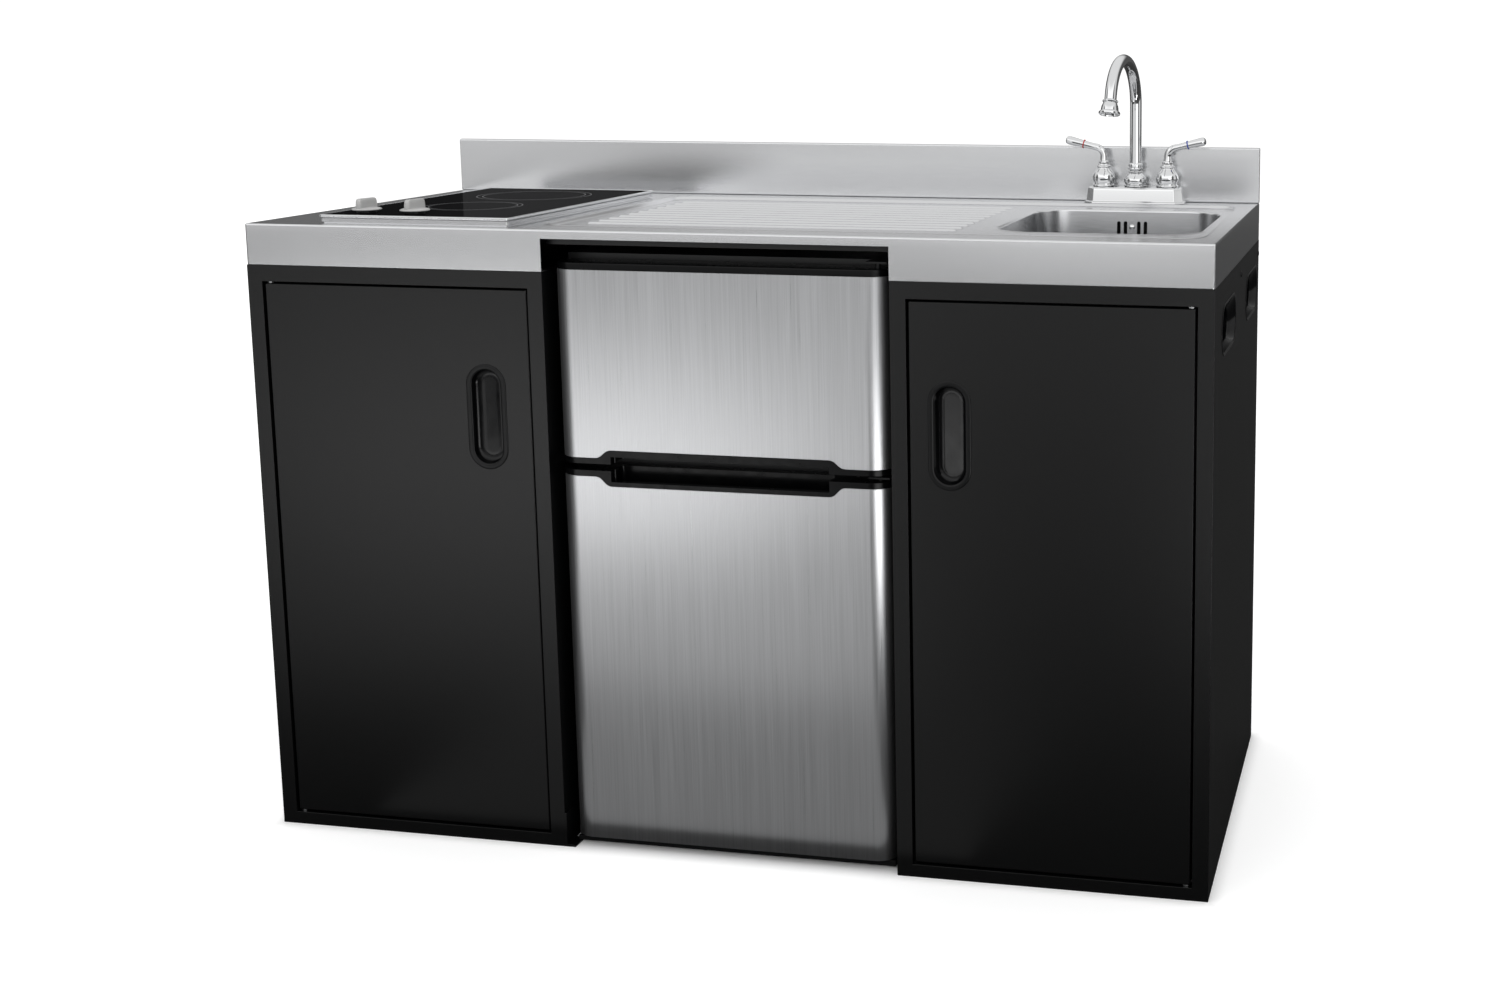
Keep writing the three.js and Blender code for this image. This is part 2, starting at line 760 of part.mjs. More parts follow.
// One raised drainer rib: a long bar with round ends and sloping flanks.
function drainerRib(index) {
  const y = firstRib + index * ribPitch;
  const outline = (width, shorten) => roundedOutline(ribLeft + shorten, ribRight - shorten,
    y - width / 2, y + width / 2, width / 2, 2);
  return loft([
    station('z', recessFloor - sheet / 2, outline(ribWidth, 0)),
    station('z', recessFloor, outline(ribWidth, 0)),
    station('z', recessFloor + ribHeight, outline(ribCrest, (ribWidth - ribCrest) / 2)),
  ]);
}

function bowlOutline(grow) {
  return centredOutline(bowlCentreX, bowlCentreY, bowlWidth + 2 * grow, bowlLength + 2 * grow,
    bowlRadius + grow, 4);
}

function worktop() {
  const pressedPan = prism(polygon(recessOutline(sheet)), 'z', recessFloor - sheet,
    worktopHeight - sheet / 2);
  const recess = loft([
    station('z', recessFloor, recessOutline(-recessSlope)),
    station('z', worktopHeight, recessOutline(0)),
    station('z', worktopHeight + overcut, recessOutline(0)),
  ]);
  const ribs = Array.from({ length: ribCount }, (_, index) => drainerRib(index));
  const hobCutOut = prism(polygon(hobOutline(hobPanInset - hobCutOutPlay)), 'z',
    worktopHeight - 2 * sheet, worktopHeight + overcut);
  const bowlCutOut = prism(polygon(bowlOutline(0)), 'z', bowlRim - overcut, worktopHeight + overcut);
  const tapHoles = [-1, 1].map((side) => rod('z', worktopHeight - 2 * sheet, worktopHeight + overcut,
    tapCentreX + side * tapSpacing, tapCentreY, shankRadius + 1.5));
  const pressed = cut(joined(worktopTray(), pressedPan), recess);
  return cut(joined(pressed, ...ribs), hobCutOut, bowlCutOut, ...tapHoles);
}

// Folded upstand that stands on the worktop's rear edge.
function backsplash() {
  const front = unitDepth - backsplashThickness;
  const top = worktopHeight + backsplashHeight;
  return cut(
    block(0, unitWidth, front, unitDepth, worktopHeight, top),
    block(sheet, unitWidth - sheet, front + sheet, unitDepth - sheet, worktopHeight - overcut, top - sheet),
  );
}

// ---------------------------------------------------------------- sink
// Stations of the bowl's skin, from the rim down to the flat floor; grow offsets the wall.
function bowlStations(grow, top) {
  const floor = bowlFloor - grow;
  const turn = [0, 30, 60, 90].map((degrees) => {
    const angle = THREE.MathUtils.degToRad(degrees);
    const inward = bowlDraft + bowlFillet * (1 - Math.cos(angle));
    return station('z', floor + bowlFillet * (1 - Math.sin(angle)), bowlOutline(grow - inward));
  });
  return [station('z', top, bowlOutline(grow)), ...turn];
}

function overflowSlots(fromY, toY, grow = 0) {
  const z = worktopHeight - overflowDrop;
  return [-2, -1, 1, 2].map((place) => {
    const x = bowlCentreX + place * overflowSlotPitch;
    return roundedPrism('y', fromY, toY, x - overflowSlotWidth / 2 - grow, x + overflowSlotWidth / 2 + grow,
      z - overflowSlotHeight / 2 - grow, z + overflowSlotHeight / 2 + grow, overflowSlotWidth / 2, 2);
  });
}

function sinkBowl() {
  const rearWall = bowlCentreY + bowlLength / 2;
  const flange = prism(polygon(bowlOutline(bowlFlange)), 'z', bowlRim - sheet, bowlRim);
  const skin = joined(loft(bowlStations(sheet, bowlRim)), flange);
  const hollow = joined(
    loft(bowlStations(0, bowlRim)),
    prism(polygon(bowlOutline(0)), 'z', bowlRim - sheet / 2, bowlRim + overcut),
  );
  const drain = rod('z', bowlFloor - 3 * sheet, bowlFloor + 3 * sheet, bowlCentreX, bowlCentreY,
    drainHoleRadius, 24);
  const slots = overflowSlots(rearWall - bowlDraft - 2, rearWall + 2 * sheet);
  return cut(skin, hollow, drain, ...slots);
}

// Box behind the overflow slots with a pipe that leads down to the waste body.
function overflowPipe() {
  const wall = bowlCentreY + bowlLength / 2 + sheet + seat;
  const z = worktopHeight - overflowDrop;
  const half = overflowBoxWidth / 2;
  const box = cut(
    block(bowlCentreX - half, bowlCentreX + half, wall, wall + overflowBoxDepth,
      z - overflowBoxHeight / 2, z + overflowBoxHeight / 2),
    block(bowlCentreX - half + 2, bowlCentreX + half - 2, wall - overcut, wall + overflowBoxDepth - 2,
      z - overflowBoxHeight / 2 + 2, z + overflowBoxHeight / 2 - 2),
  );
  const pipeY = wall + overflowBoxDepth / 2;
  const elbowZ = bowlFloor - drainBodyHeight / 2 - 2;
  const corner = 26;
  const points = [
    [pipeY, z - overflowBoxHeight / 2 + 1], [pipeY, z - overflowBoxHeight / 2 - 20],
    [pipeY, elbowZ + corner + 20],
    ...arc(pipeY - corner, elbowZ + corner, corner, 0, -90, 5),
    [bowlCentreY + drainBodyRadius + 20, elbowZ], [bowlCentreY + drainBodyRadius + seat, elbowZ],
  ].map(([y, height]) => new THREE.Vector3(bowlCentreX, y, height));
  return joined(box, tube(points, overflowPipeRadius, 8, 14));
}

// Waste body: a flange seated on the bowl floor, a clamping nut beneath and a tail pipe.
function drainBody() {
  const under = bowlFloor - sheet;
  const throat = drainHoleRadius - 2 * seat;
  const base = bowlFloor - drainBodyHeight;
  const profile = [
    [throat - 4, drainSeat], [drainFlangeRadius - 4, drainSeat],
    [drainFlangeRadius, bowlFloor + seat], [throat, bowlFloor + seat], [throat, under - seat],
    [drainBodyRadius + 5, under - seat], [drainBodyRadius + 5, under - seat - 7],
    [drainBodyRadius, under - seat - 7], [drainBodyRadius, base + 6],
    [wastePipeRadius + 3, base], [wastePipeRadius, base], [wastePipeRadius, base - tailLength],
    [wastePipeRadius - wasteWall, base - tailLength], [wastePipeRadius - wasteWall, base + 4],
    [throat - 4, base + 14], [throat - 4, drainSeat],
  ];
  return turned(profile, bowlCentreX, bowlCentreY, 12);
}

// Lift-out basket with slots round its floor and a centre knob.
function drainStrainer() {
  const rim = drainSeat + seat;
  const cup = drainHoleRadius - 7;
  const profile = [
    [0, rim - strainerDepth], [cup - 5, rim - strainerDepth], [cup, rim - strainerDepth + 6],
    [cup, rim], [strainerRim, rim], [strainerRim, rim + 1.4], [cup - 2, rim + 1.4],
    [cup - 2, rim - strainerDepth + 7], [cup - 6, rim - strainerDepth + 2],
    [3, rim - strainerDepth + 2], [3, rim - 3], [6, rim - 1], [6, rim + 3], [0, rim + 4],
  ];
  const holes = [0, 60, 120, 180, 240, 300].map((degrees) => {
    const angle = THREE.MathUtils.degToRad(degrees);
    return rod('z', rim - strainerDepth - overcut, rim - strainerDepth + 3,
      bowlCentreX + 9.5 * Math.cos(angle), bowlCentreY + 9.5 * Math.sin(angle), 2.4, 6);
  });
  return cut(turned(profile, bowlCentreX, bowlCentreY), ...holes);
}

// Bottle-less U trap: down, round, up and back to the wall connection.
function wasteTrap() {
  const low = trapTop - trapDrop;
  const elbow = 30;
  const rise = low + 26;
  const farY = 2 * trapBend;
  const points = [
    [0, trapTop - seat], [0, trapTop - 24], [0, low + 8],
    ...arc(trapBend, low, trapBend, 180, 360, 10),
    [farY, low + 10],
    ...arc(farY + elbow, rise, elbow, 180, 90, 5),
    [farY + elbow + 20, rise + elbow], [unitDepth - bowlCentreY - 8, rise + elbow],
  ].map(([y, z]) => new THREE.Vector3(bowlCentreX, bowlCentreY + y, z));
  const nut = turned([
    [wastePipeRadius - 2, trapTop - 26], [wastePipeRadius + 6, trapTop - 26],
    [wastePipeRadius + 6, trapTop - 8], [wastePipeRadius - 2, trapTop - 8],
    [wastePipeRadius - 2, trapTop - 26],
  ], bowlCentreX, bowlCentreY, 12);
  return joined(tube(points, wastePipeRadius, 8, 24), nut);
}

// ---------------------------------------------------------------- tap
// Deck plate with cut corners and a thin lip round its foot.
function tapBase() {
  const outline = (grow) => {
    const [w, d, c] = [tapBaseWidth / 2 + grow, tapBaseDepth / 2 + grow, tapBaseChamfer];
    const points = [[w - c, -d], [w, -d + c], [w, d - c], [w - c, d],
      [-w + c, d], [-w, d - c], [-w, -d + c], [-w + c, -d]];
    return points.map(([x, y]) => [x + tapCentreX, y + tapCentreY]);
  };
  const plate = loft([
    station('z', worktopHeight, outline(0)),
    station('z', worktopHeight + tapBaseLip, outline(0)),
    station('z', worktopHeight + tapBaseLip + 2, outline(-tapBaseLip)),
    station('z', tapBaseTop - 3, outline(-tapBaseLip - 1)),
    station('z', tapBaseTop, outline(-tapBaseLip - 4)),
  ]);
  const shankHoles = [-1, 1].map((side) => rod('z', worktopHeight - overcut, worktopHeight + 8,
    tapCentreX + side * tapSpacing, tapCentreY, shankRadius + seat));
  return cut(plate, ...shankHoles);
}

// Bell-shaped escutcheon with a beaded foot and a ringed neck.
function bell(x, height) {
  const z = tapBaseTop;
  const profile = [
    [0, z], [bellRadius - 1, z], [bellRadius - 0.5, z + 2.5], [bellRadius - 2.5, z + 4],
    [bellRadius, z + 0.28 * height], [bellRadius, z + 0.45 * height],
    [bellRadius - 3.5, z + 0.66 * height], [bellNeckRadius + 1, z + 0.82 * height],
    [bellNeckRadius + 2.4, z + 0.88 * height], [bellNeckRadius + 2.4, z + 0.94 * height],
    [bellNeckRadius, z + height], [0, z + height],
  ];
  return turned(profile, x, tapCentreY);
}

// End of the gooseneck as [forward, up]: a short straight run beyond the arch.
function spoutEnd() {
  const bend = spoutReach / 2;
  const left = THREE.MathUtils.degToRad(180 - spoutSweep);
  const [forward, up] = arc(bend, spoutTop - spoutRadius - bend, bend, 180 - spoutSweep, 0, 1)[0];
  return [forward + spoutStraightEnd * Math.sin(left), up - spoutStraightEnd * Math.cos(left)];
}

// Gooseneck spout, built pointing forward along its own -Y from a vertical stem.
function spout() {
  const bend = spoutReach / 2;
  const archCentre = spoutTop - spoutRadius - bend;
  const foot = tapBaseTop + 0.75 * bellHeight + seat;
  const stem = [0, 0.35, 0.7, 0.95].map((t) => [0, foot + t * (archCentre - foot)]);
  const arch = arc(bend, archCentre, bend, 180, 180 - spoutSweep, 16);
  const points = [...stem, ...arch, spoutEnd()].map(([forward, up]) => new THREE.Vector3(0, -forward, up));
  const collar = turned([
    [0, foot], [spoutRadius + 2, foot], [spoutRadius + 2.6, foot + 3], [spoutRadius + 1, foot + 6],
    [spoutRadius + 2, foot + 8], [spoutRadius - 1, foot + 10], [0, foot + 10],
  ], 0, 0, 16);
  return joined(tube(points, spoutRadius, 10, 26), collar);
}

// Flared outlet on the spout's end, hollow at its mouth.
function aerator() {
  const r = spoutRadius;
  return turned([
    [0, -seat], [r + 1.5, -seat], [r + 2.8, -2], [r + 1.2, -4.5], [r + 3.4, -9],
    [r + 4.2, -15], [aeratorRadius, -aeratorLength + 3], [aeratorRadius, -aeratorLength + 1],
    [aeratorRadius - 1.5, -aeratorLength], [aeratorRadius - 4.5, -aeratorLength],
    [aeratorRadius - 5, -aeratorLength + 6], [0, -aeratorLength + 6],
  ], 0, 0, 16);
}

// Lever handle: a stem rises from the bell, bends outward and flares to a rounded tip.
// Built from its own foot at the origin, reaching along +X.
function lever() {
  const tilt = THREE.MathUtils.degToRad(leverTilt);
  const bend = 15;
  const rings = [];
  const ringAt = (x, z, lean, across, thick) => {
    const centre = new THREE.Vector3(x, 0, z);
    const up = new THREE.Vector3(-Math.sin(lean), 0, Math.cos(lean));
    rings.push(circleOutline(0, 0, 1, 12).map(([u, v]) => centre.clone()
      .addScaledVector(alongY, u * across).addScaledVector(up, v * thick)));
  };
  const stem = [[0, 7.4], [2, 8.2], [4, 6.6], [leverRise - bend, leverStemRadius]];
  stem.forEach(([z, radius]) => ringAt(0, z, Math.PI / 2, radius, radius));
  for (const share of [0.33, 0.66, 1]) {
    const lean = Math.PI / 2 - share * (Math.PI / 2 - tilt);
    const x = bend * (1 - Math.sin(lean));
    const z = leverRise - bend + bend * Math.cos(lean);
    ringAt(x, z, lean, leverStemRadius, leverStemRadius);
  }
  const start = bend * (1 - Math.sin(tilt));
  const height = leverRise - bend + bend * Math.cos(tilt);
  const run = leverReach - start;
  for (const [share, across, thick] of [[0.18, 5.8, 5.6], [0.5, 7, 6.2], [0.85, leverTipRadius, 6.8],
    [0.97, leverTipRadius - 1.2, 5.6], [1, leverTipRadius - 4, 3]]) {
    ringAt(start + share * run, height + share * run * Math.tan(tilt), tilt, across, thick);
  }
  return loft(rings);
}

// Threaded inlet below the deck with its hexagonal clamping nut.
function shank(x) {
  const under = worktopHeight - sheet;
  const pipe = turned([
    [0, worktopHeight + 7], [shankRadius, worktopHeight + 7], [shankRadius, under - shankLength],
    [shankRadius - 4, under - shankLength], [shankRadius - 4, under - shankLength + 12],
    [0, under - shankLength + 12],
  ], x, tapCentreY, 10);
  const nut = turned([
    [shankRadius - 2, under - seat - 8], [shankNutRadius, under - seat - 8],
    [shankNutRadius, under - seat], [shankRadius - 2, under - seat], [shankRadius - 2, under - seat - 8],
  ], x, tapCentreY, 6);
  return joined(pipe, nut);
}

// ---------------------------------------------------------------- hob
function hobOutline(inset, corner = hobCorner) {
  return roundedOutline(hobLeft + inset, hobLeft + hobWidth - inset, hobFront + inset,
    hobFront + hobDepth - inset, Math.max(corner - inset, 1), 2);
}

function hobRing(outer, inner, z0, z1) {
  return cut(
    prism(polygon(hobOutline(outer)), 'z', z0, z1),
    prism(polygon(hobOutline(inner)), 'z', z0 - overcut, z1 + overcut),
  );
}

// Steel frame: a flange on the worktop, a recessed neck and a rim round the glass.
function hobFrame() {
  const rimBottom = glassTop - hobRimHeight;
  const glassBottom = glassTop - glassThickness - seat;
  return joined(
    hobRing(0, hobFlangeWidth - 4, worktopHeight, worktopHeight + hobFlangeThickness),
    hobRing(hobNeckInset, hobNeckInset + sheet, worktopHeight, glassBottom),
    hobRing(0, hobRimWidth, rimBottom, glassTop),
    hobRing(0, hobRimWidth + hobLedge, rimBottom, glassBottom),
  );
}

function hobGlass() {
  const pane = prism(polygon(hobOutline(hobRimWidth + seat)), 'z', glassTop - glassThickness, glassTop - 0.5);
  const bossHoles = [leftKnobX, rightKnobX].map((x) => rod('z', glassTop - 2 * glassThickness,
    glassTop + overcut, x, knobY, knobBossRadius + seat));
  return cut(pane, ...bossHoles);
}

// Black enamelled pan that hangs by its rim inside the frame's neck, with a terminal box below.
function hobBody() {
  const rimBottom = worktopHeight + hobFlangeThickness + seat;
  const bottom = worktopHeight - seat - hobPanDepth;
  const pan = cut(
    prism(polygon(hobOutline(hobPanInset)), 'z', bottom, rimBottom + sheet),
    prism(polygon(hobOutline(hobPanInset + sheet)), 'z', bottom + sheet, rimBottom + sheet + overcut),
  );
  const rim = hobRing(hobNeckInset + sheet + seat, hobPanInset + sheet, rimBottom, rimBottom + sheet);
  const cableX = hobLeft + hobWidth / 2;
  const rear = hobFront + hobDepth - hobPanInset;
  const terminalBox = block(cableX - terminalBoxWidth / 2, cableX + terminalBoxWidth / 2,
    rear - terminalBoxLength - sheet, rear - sheet, bottom - terminalBoxDrop, bottom + sheet / 2);
  return joined(pan, rim, terminalBox);
}

// Both radiant heaters on the spring rail that presses them up to the glass.
function radiantHeaters() {
  const top = glassTop - glassThickness - 3 * seat;
  const floor = worktopHeight - seat - hobPanDepth + sheet;
  const heater = (y, radius) => turned([
    [0, top - elementHeight], [radius, top - elementHeight], [radius, top], [radius - 9, top],
    [radius - 9, top - 12], [0, top - 12],
  ], zoneX, y);
  const rail = block(zoneX - 15, zoneX + 15, hobFront + 80, hobFront + hobDepth - 40,
    top - elementHeight - elementRailHeight, top - elementHeight + 1);
  const posts = [hobFront + 86, hobFront + hobDepth - 46].map((y) => block(zoneX - 8, zoneX + 8,
    y - 5, y + 5, floor + seat, top - elementHeight - 1));
  return joined(heater(frontZoneY, frontZoneRadius), heater(rearZoneY, rearZoneRadius), rail, ...posts);
}

// Control knob: a round skirt with a raised bar grip, on a shaft through the glass.
function knob() {
  const skirt = turned([
    [0, knobLift], [knobSkirtRadius - 1, knobLift], [knobSkirtRadius, knobLift + 1],
    [knobSkirtRadius - 1.5, knobLift + 2.2], [knobSkirtRadius - 5, knobLift + 4], [0, knobLift + 4.6],
  ]);
  const grip = loft([
    station('z', knobLift + 2, centredOutline(0, 0, knobGripWidth, knobGripLength, 3, 3)),
    station('z', knobHeight - 2, centredOutline(0, 0, knobGripWidth - 2, knobGripLength - 4, 3, 3)),
    station('z', knobHeight, centredOutline(0, 0, knobGripWidth - 5, knobGripLength - 8, 3, 3)),
  ]);
  const shaft = rod('z', -knobShaftLength, knobLift + 1, 0, 0, knobShaftRadius, 8);
  return joined(skirt, grip, shaft);
}

// Both energy regulators on one bracket; their bosses rise through the glass under the knobs.
function hobRegulators() {
  const top = glassTop - glassThickness - 2 * seat;
  const half = regulatorWidth / 2;
  const bracket = block(leftKnobX - half, rightKnobX + half, knobY - half, knobY + half, top - sheet, top);
  const bodies = [leftKnobX, rightKnobX].flatMap((x) => [
    block(x - half + sheet, x + half - sheet, knobY - half + sheet, knobY + half - sheet,
      top - regulatorDepth, top),
    rod('z', top - sheet, glassTop + knobLift - 2 * seat, x, knobY, knobBossRadius),
  ]);
  const bores = [leftKnobX, rightKnobX].map((x) => rod('z', glassTop - knobShaftLength - overcut,
    glassTop + knobLift + overcut, x, knobY, knobShaftRadius + seat, 8));
  return cut(joined(bracket, ...bodies), ...bores);
}

// ---------------------------------------------------------------- refrigerator
// Insulated cabinet: freezer above, fresh food below, and a machine room at the rear foot.
function fridgeCabinet() {
  const [x0, x1] = [fridgeLeft + fridgeWall, fridgeRight - fridgeWall];
  const liningBack = fridgeBack - fridgeBackWall;
  const mouth = fridgeFront - overcut;
  const freezer = block(x0, x1, mouth, liningBack, freezerFloor, freezerCeiling);
  const freshFood = cut(
    block(x0, x1, mouth, liningBack, fridgeFloor, fridgeCeiling),
    block(x0 - overcut, x1 + overcut, stepFront, liningBack + overcut, fridgeFloor - overcut, stepTop),
  );
  const machineRoom = block(fridgeLeft + machineRoomWall, fridgeRight - machineRoomWall, machineRoomFront,
    fridgeBack + overcut, fridgeBottom - overcut, machineRoomTop);
  const ledges = [x0, x1 - shelfLedge].map((x) => block(x, x + shelfLedge, shelfFront, liningBack,
    shelfHeight - shelfLedge, shelfHeight - seat));
  const body = block(fridgeLeft, fridgeRight, fridgeFront, fridgeBack, fridgeBottom, fridgeTop);
  return joined(cut(body, freezer, freshFood, machineRoom), ...ledges);
}

// Plinth, side runners, machine-room floor and levelling feet.
function fridgeBase() {
  const [x0, x1] = [fridgeLeft + plinthInset, fridgeRight - plinthInset];
  const top = fridgeBottom - seat;
  const back = fridgeBack - plinthInset;
  const plinth = block(x0, x1, plinthFront, fridgeFront + footRadius, footHeight, plinthHeight);
  const runners = [x0, x1 - runnerWidth].map((x) => block(x, x + runnerWidth, fridgeFront, back,
    footHeight, top));
  const floor = block(x0, x1, machineRoomFront + 2 * machineRoomWall, back, top - machineRoomFloor, top);
  const feet = [x0 + footInset, x1 - footInset].flatMap((x) => [plinthFront + footInset, back - footInset]
    .map((y) => rod('z', 0, footHeight + overcut, x, y, footRadius, 10)));
  return joined(plinth, ...runners, floor, ...feet);
}

// Door slab in plan: flat face between two bull-nosed vertical edges.
function doorPlanShape() {
  const [x0, x1, y0, y1, r] = [fridgeLeft, fridgeRight, fridgeDoorFront, fridgeDoorBack, doorNose];
  const shape = new THREE.Shape();
  shape.moveTo(x0, y1);
  shape.lineTo(x0, y0 + r);
  shape.absarc(x0 + r, y0 + r, r, Math.PI, 1.5 * Math.PI, false);
  shape.lineTo(x1 - r, y0);
  shape.absarc(x1 - r, y0 + r, r, 1.5 * Math.PI, 2 * Math.PI, false);
  shape.lineTo(x1, y1);
  return shape;
}

function doorSlab(z0, z1) {
  return prism(doorPlanShape(), 'z', z0, z1);
}

// Region above or below the stepped line where steel meets the handle trim.
function beyondEdge(sideZ, middleZ, farZ) {
  const far = 40;
  const outline = polygon([
    [fridgeLeft - far, sideZ], [handleLeft - handleSlant / 2, sideZ], [handleLeft + handleSlant / 2, middleZ],
    [handleRight - handleSlant / 2, middleZ], [handleRight + handleSlant / 2, sideZ],
    [fridgeRight + far, sideZ], [fridgeRight + far, farZ], [fridgeLeft - far, farZ],
  ]);
  return prism(outline, 'y', fridgeDoorFront - far, fridgeDoorBack + far);
}

function scoopBlock(grow, z0, z1) {
  return block(handleLeft + handleSlant - grow, handleRight - handleSlant + grow,
    fridgeDoorFront + scoopFront - grow, fridgeDoorFront + scoopBack + grow, z0, z1);
}

// Moulded inner face: a raised dike with a rack floor and a retaining lip.
function doorLiner(z0, z1, racks) {
  const [x0, x1] = [fridgeLeft + dikeInset, fridgeRight - dikeInset];
  const [near, far] = [fridgeDoorBack - 1, fridgeDoorBack + dikeDepth];
  const dike = block(x0, x1, near, far, z0, z1);
  const hollow = block(x0 + dikeWall, x1 - dikeWall, fridgeDoorBack - linerRecess, far + overcut,
    z0 + dikeWall, z1 - dikeWall);
  const floors = racks.map((z) => block(x0 + dikeWall / 2, x1 - dikeWall / 2,
    fridgeDoorBack - linerRecess - 1, far, z, z + rackFloor));
  const lips = racks.map((z) => block(x0 + dikeWall / 2, x1 - dikeWall / 2, far - rackFloor, far,
    z, z + rackLip));
  return { dike, hollow, racks: [...floors, ...lips] };
}

function hingeHole(z0, z1) {
  return rod('z', z0, z1, pivotX, pivotY, hingePinRadius + seat, 16);
}

function freezerDoor() {
  const slab = doorSlab(upperTrimBottom, freezerDoorTop);
  const liner = doorLiner(freezerFloor + rackInset, freezerCeiling - rackInset, [freezerFloor + rackInset]);
  const body = cut(
    slab,
    beyondEdge(upperSteelEdge, upperSteelEdgeMiddle, upperTrimBottom - 10),
    scoopBlock(scoopWall + seat, upperTrimBottom - overcut, upperSteelEdgeMiddle + scoopReach + seat),
    hingeHole(upperTrimBottom - overcut, upperTrimBottom + hingePinReach + 2),
    hingeHole(freezerDoorTop - hingePinReach - 2, freezerDoorTop + overcut),
  );
  return joined(cut(joined(body, liner.dike), liner.hollow), ...liner.racks);
}

function fridgeDoor() {
  const slab = doorSlab(fridgeDoorBottom, lowerTrimTop);
  const racks = [fridgeFloor + rackInset, middleRackHeight];
  const liner = doorLiner(fridgeFloor + rackInset, fridgeCeiling - rackInset, racks);
  const body = cut(
    slab,
    beyondEdge(lowerSteelEdge, lowerSteelEdgeMiddle, lowerTrimTop + 10),
    scoopBlock(scoopWall + seat, lowerSteelEdgeMiddle - scoopReach - seat, lowerTrimTop + overcut),
    hingeHole(lowerTrimTop - hingePinReach - 2, lowerTrimTop + overcut),
    hingeHole(fridgeDoorBottom - overcut, fridgeDoorBottom + hingePinReach),
  );
  return joined(cut(joined(body, liner.dike), liner.hollow), ...liner.racks);
}

// Black end cap of the freezer door: stepped trim with a finger scoop that opens forward.
function freezerHandle() {
  const strip = doorSlab(upperTrimBottom, upperSteelEdgeMiddle - seat)
    .intersect(beyondEdge(upperSteelEdge - seat, upperSteelEdgeMiddle - seat, upperTrimBottom - 10));
  const housing = scoopBlock(scoopWall, upperSteelEdgeMiddle - 3, upperSteelEdgeMiddle + scoopReach);
  const scoop = scoopBlock(0, upperTrimBottom - overcut, upperSteelEdgeMiddle + scoopReach - scoopWall);
  const mouth = block(handleLeft + handleSlant, handleRight - handleSlant, fridgeDoorFront - overcut,
    fridgeDoorFront + scoopFront + overcut, upperTrimBottom - overcut, upperLipBottom);
  const hinge = hingeHole(upperTrimBottom - overcut, upperTrimBottom + hingePinReach + 2);
  return cut(joined(strip, housing), scoop, mouth, hinge);
}

// Black end cap of the lower door, the mirror of the one above it.
function fridgeHandle() {
  const strip = doorSlab(lowerSteelEdgeMiddle + seat, lowerTrimTop)
    .intersect(beyondEdge(lowerSteelEdge + seat, lowerSteelEdgeMiddle + seat, lowerTrimTop + 10));
  const housing = scoopBlock(scoopWall, lowerSteelEdgeMiddle - scoopReach, lowerSteelEdgeMiddle + 3);
  const scoop = scoopBlock(0, lowerSteelEdgeMiddle - scoopReach + scoopWall, lowerTrimTop + overcut);
  const mouth = block(handleLeft + handleSlant, handleRight - handleSlant, fridgeDoorFront - overcut,
    fridgeDoorFront + scoopFront + overcut, lowerLipTop, lowerTrimTop + overcut);
  const hinge = hingeHole(lowerTrimTop - hingePinReach - 2, lowerTrimTop + overcut);
  return cut(joined(strip, housing), scoop, mouth, hinge);
}

// Magnetic gasket between a door and the cabinet's front.
function gasket(z0, z1) {
  const [x0, x1] = [fridgeLeft + gasketInset, fridgeRight - gasketInset];
  const [y0, y1] = [fridgeDoorBack + seat, fridgeFront - seat];
  return cut(
    block(x0, x1, y0, y1, z0, z1),
    block(x0 + gasketWidth, x1 - gasketWidth, y0 - overcut, y1 + overcut, z0 + gasketWidth, z1 - gasketWidth),
  );
}

function hingePin(z0, z1) {
  return rod('z', z0, z1, pivotX, pivotY, hingePinRadius, 16);
}

function hingePlateAt(z0, backY) {
  const [x0, x1] = [pivotX - hingePlateWidth / 2, pivotX + hingePlateWidth / 2];
  return block(x0, x1, pivotY - hingePlateFront, backY, z0, z0 + hingePlate);
}

function topHinge() {
  return joined(
    hingePlateAt(fridgeTop, fridgeFront + topHingeReach),
    hingePin(freezerDoorTop - hingePinReach, fridgeTop + overcut),
  );
}

function middleHinge() {
  const plateZ = (lowerTrimTop + upperTrimBottom - hingePlate) / 2;
  const back = fridgeFront - seat;
  const [x0, x1] = [fridgeRight - hingeTabInset - hingeTabWidth, fridgeRight - hingeTabInset];
  const tabZ = plateZ + hingePlate / 2;
  return joined(
    hingePlateAt(plateZ, back - hingePlate - gasketWidth),
    block(x0, x1, pivotY, back, plateZ, plateZ + hingePlate),
    block(x0, x1, back - hingePlate, back, tabZ - hingeTabHeight / 2, tabZ + hingeTabHeight / 2),
    hingePin(lowerTrimTop - hingePinReach, upperTrimBottom + hingePinReach),
  );
}

function bottomHinge() {
  return joined(
    hingePlateAt(plinthHeight, fridgeDoorBack),
    hingePin(plinthHeight + overcut, fridgeDoorBottom + 0.8 * hingePinReach),
  );
}

function fridgeShelf() {
  return roundedPrism('z', shelfHeight, shelfHeight + shelfThickness, fridgeLeft + fridgeWall + seat,
    fridgeRight - fridgeWall - seat, shelfFront, fridgeBack - fridgeBackWall - seat, 4, 2);
}

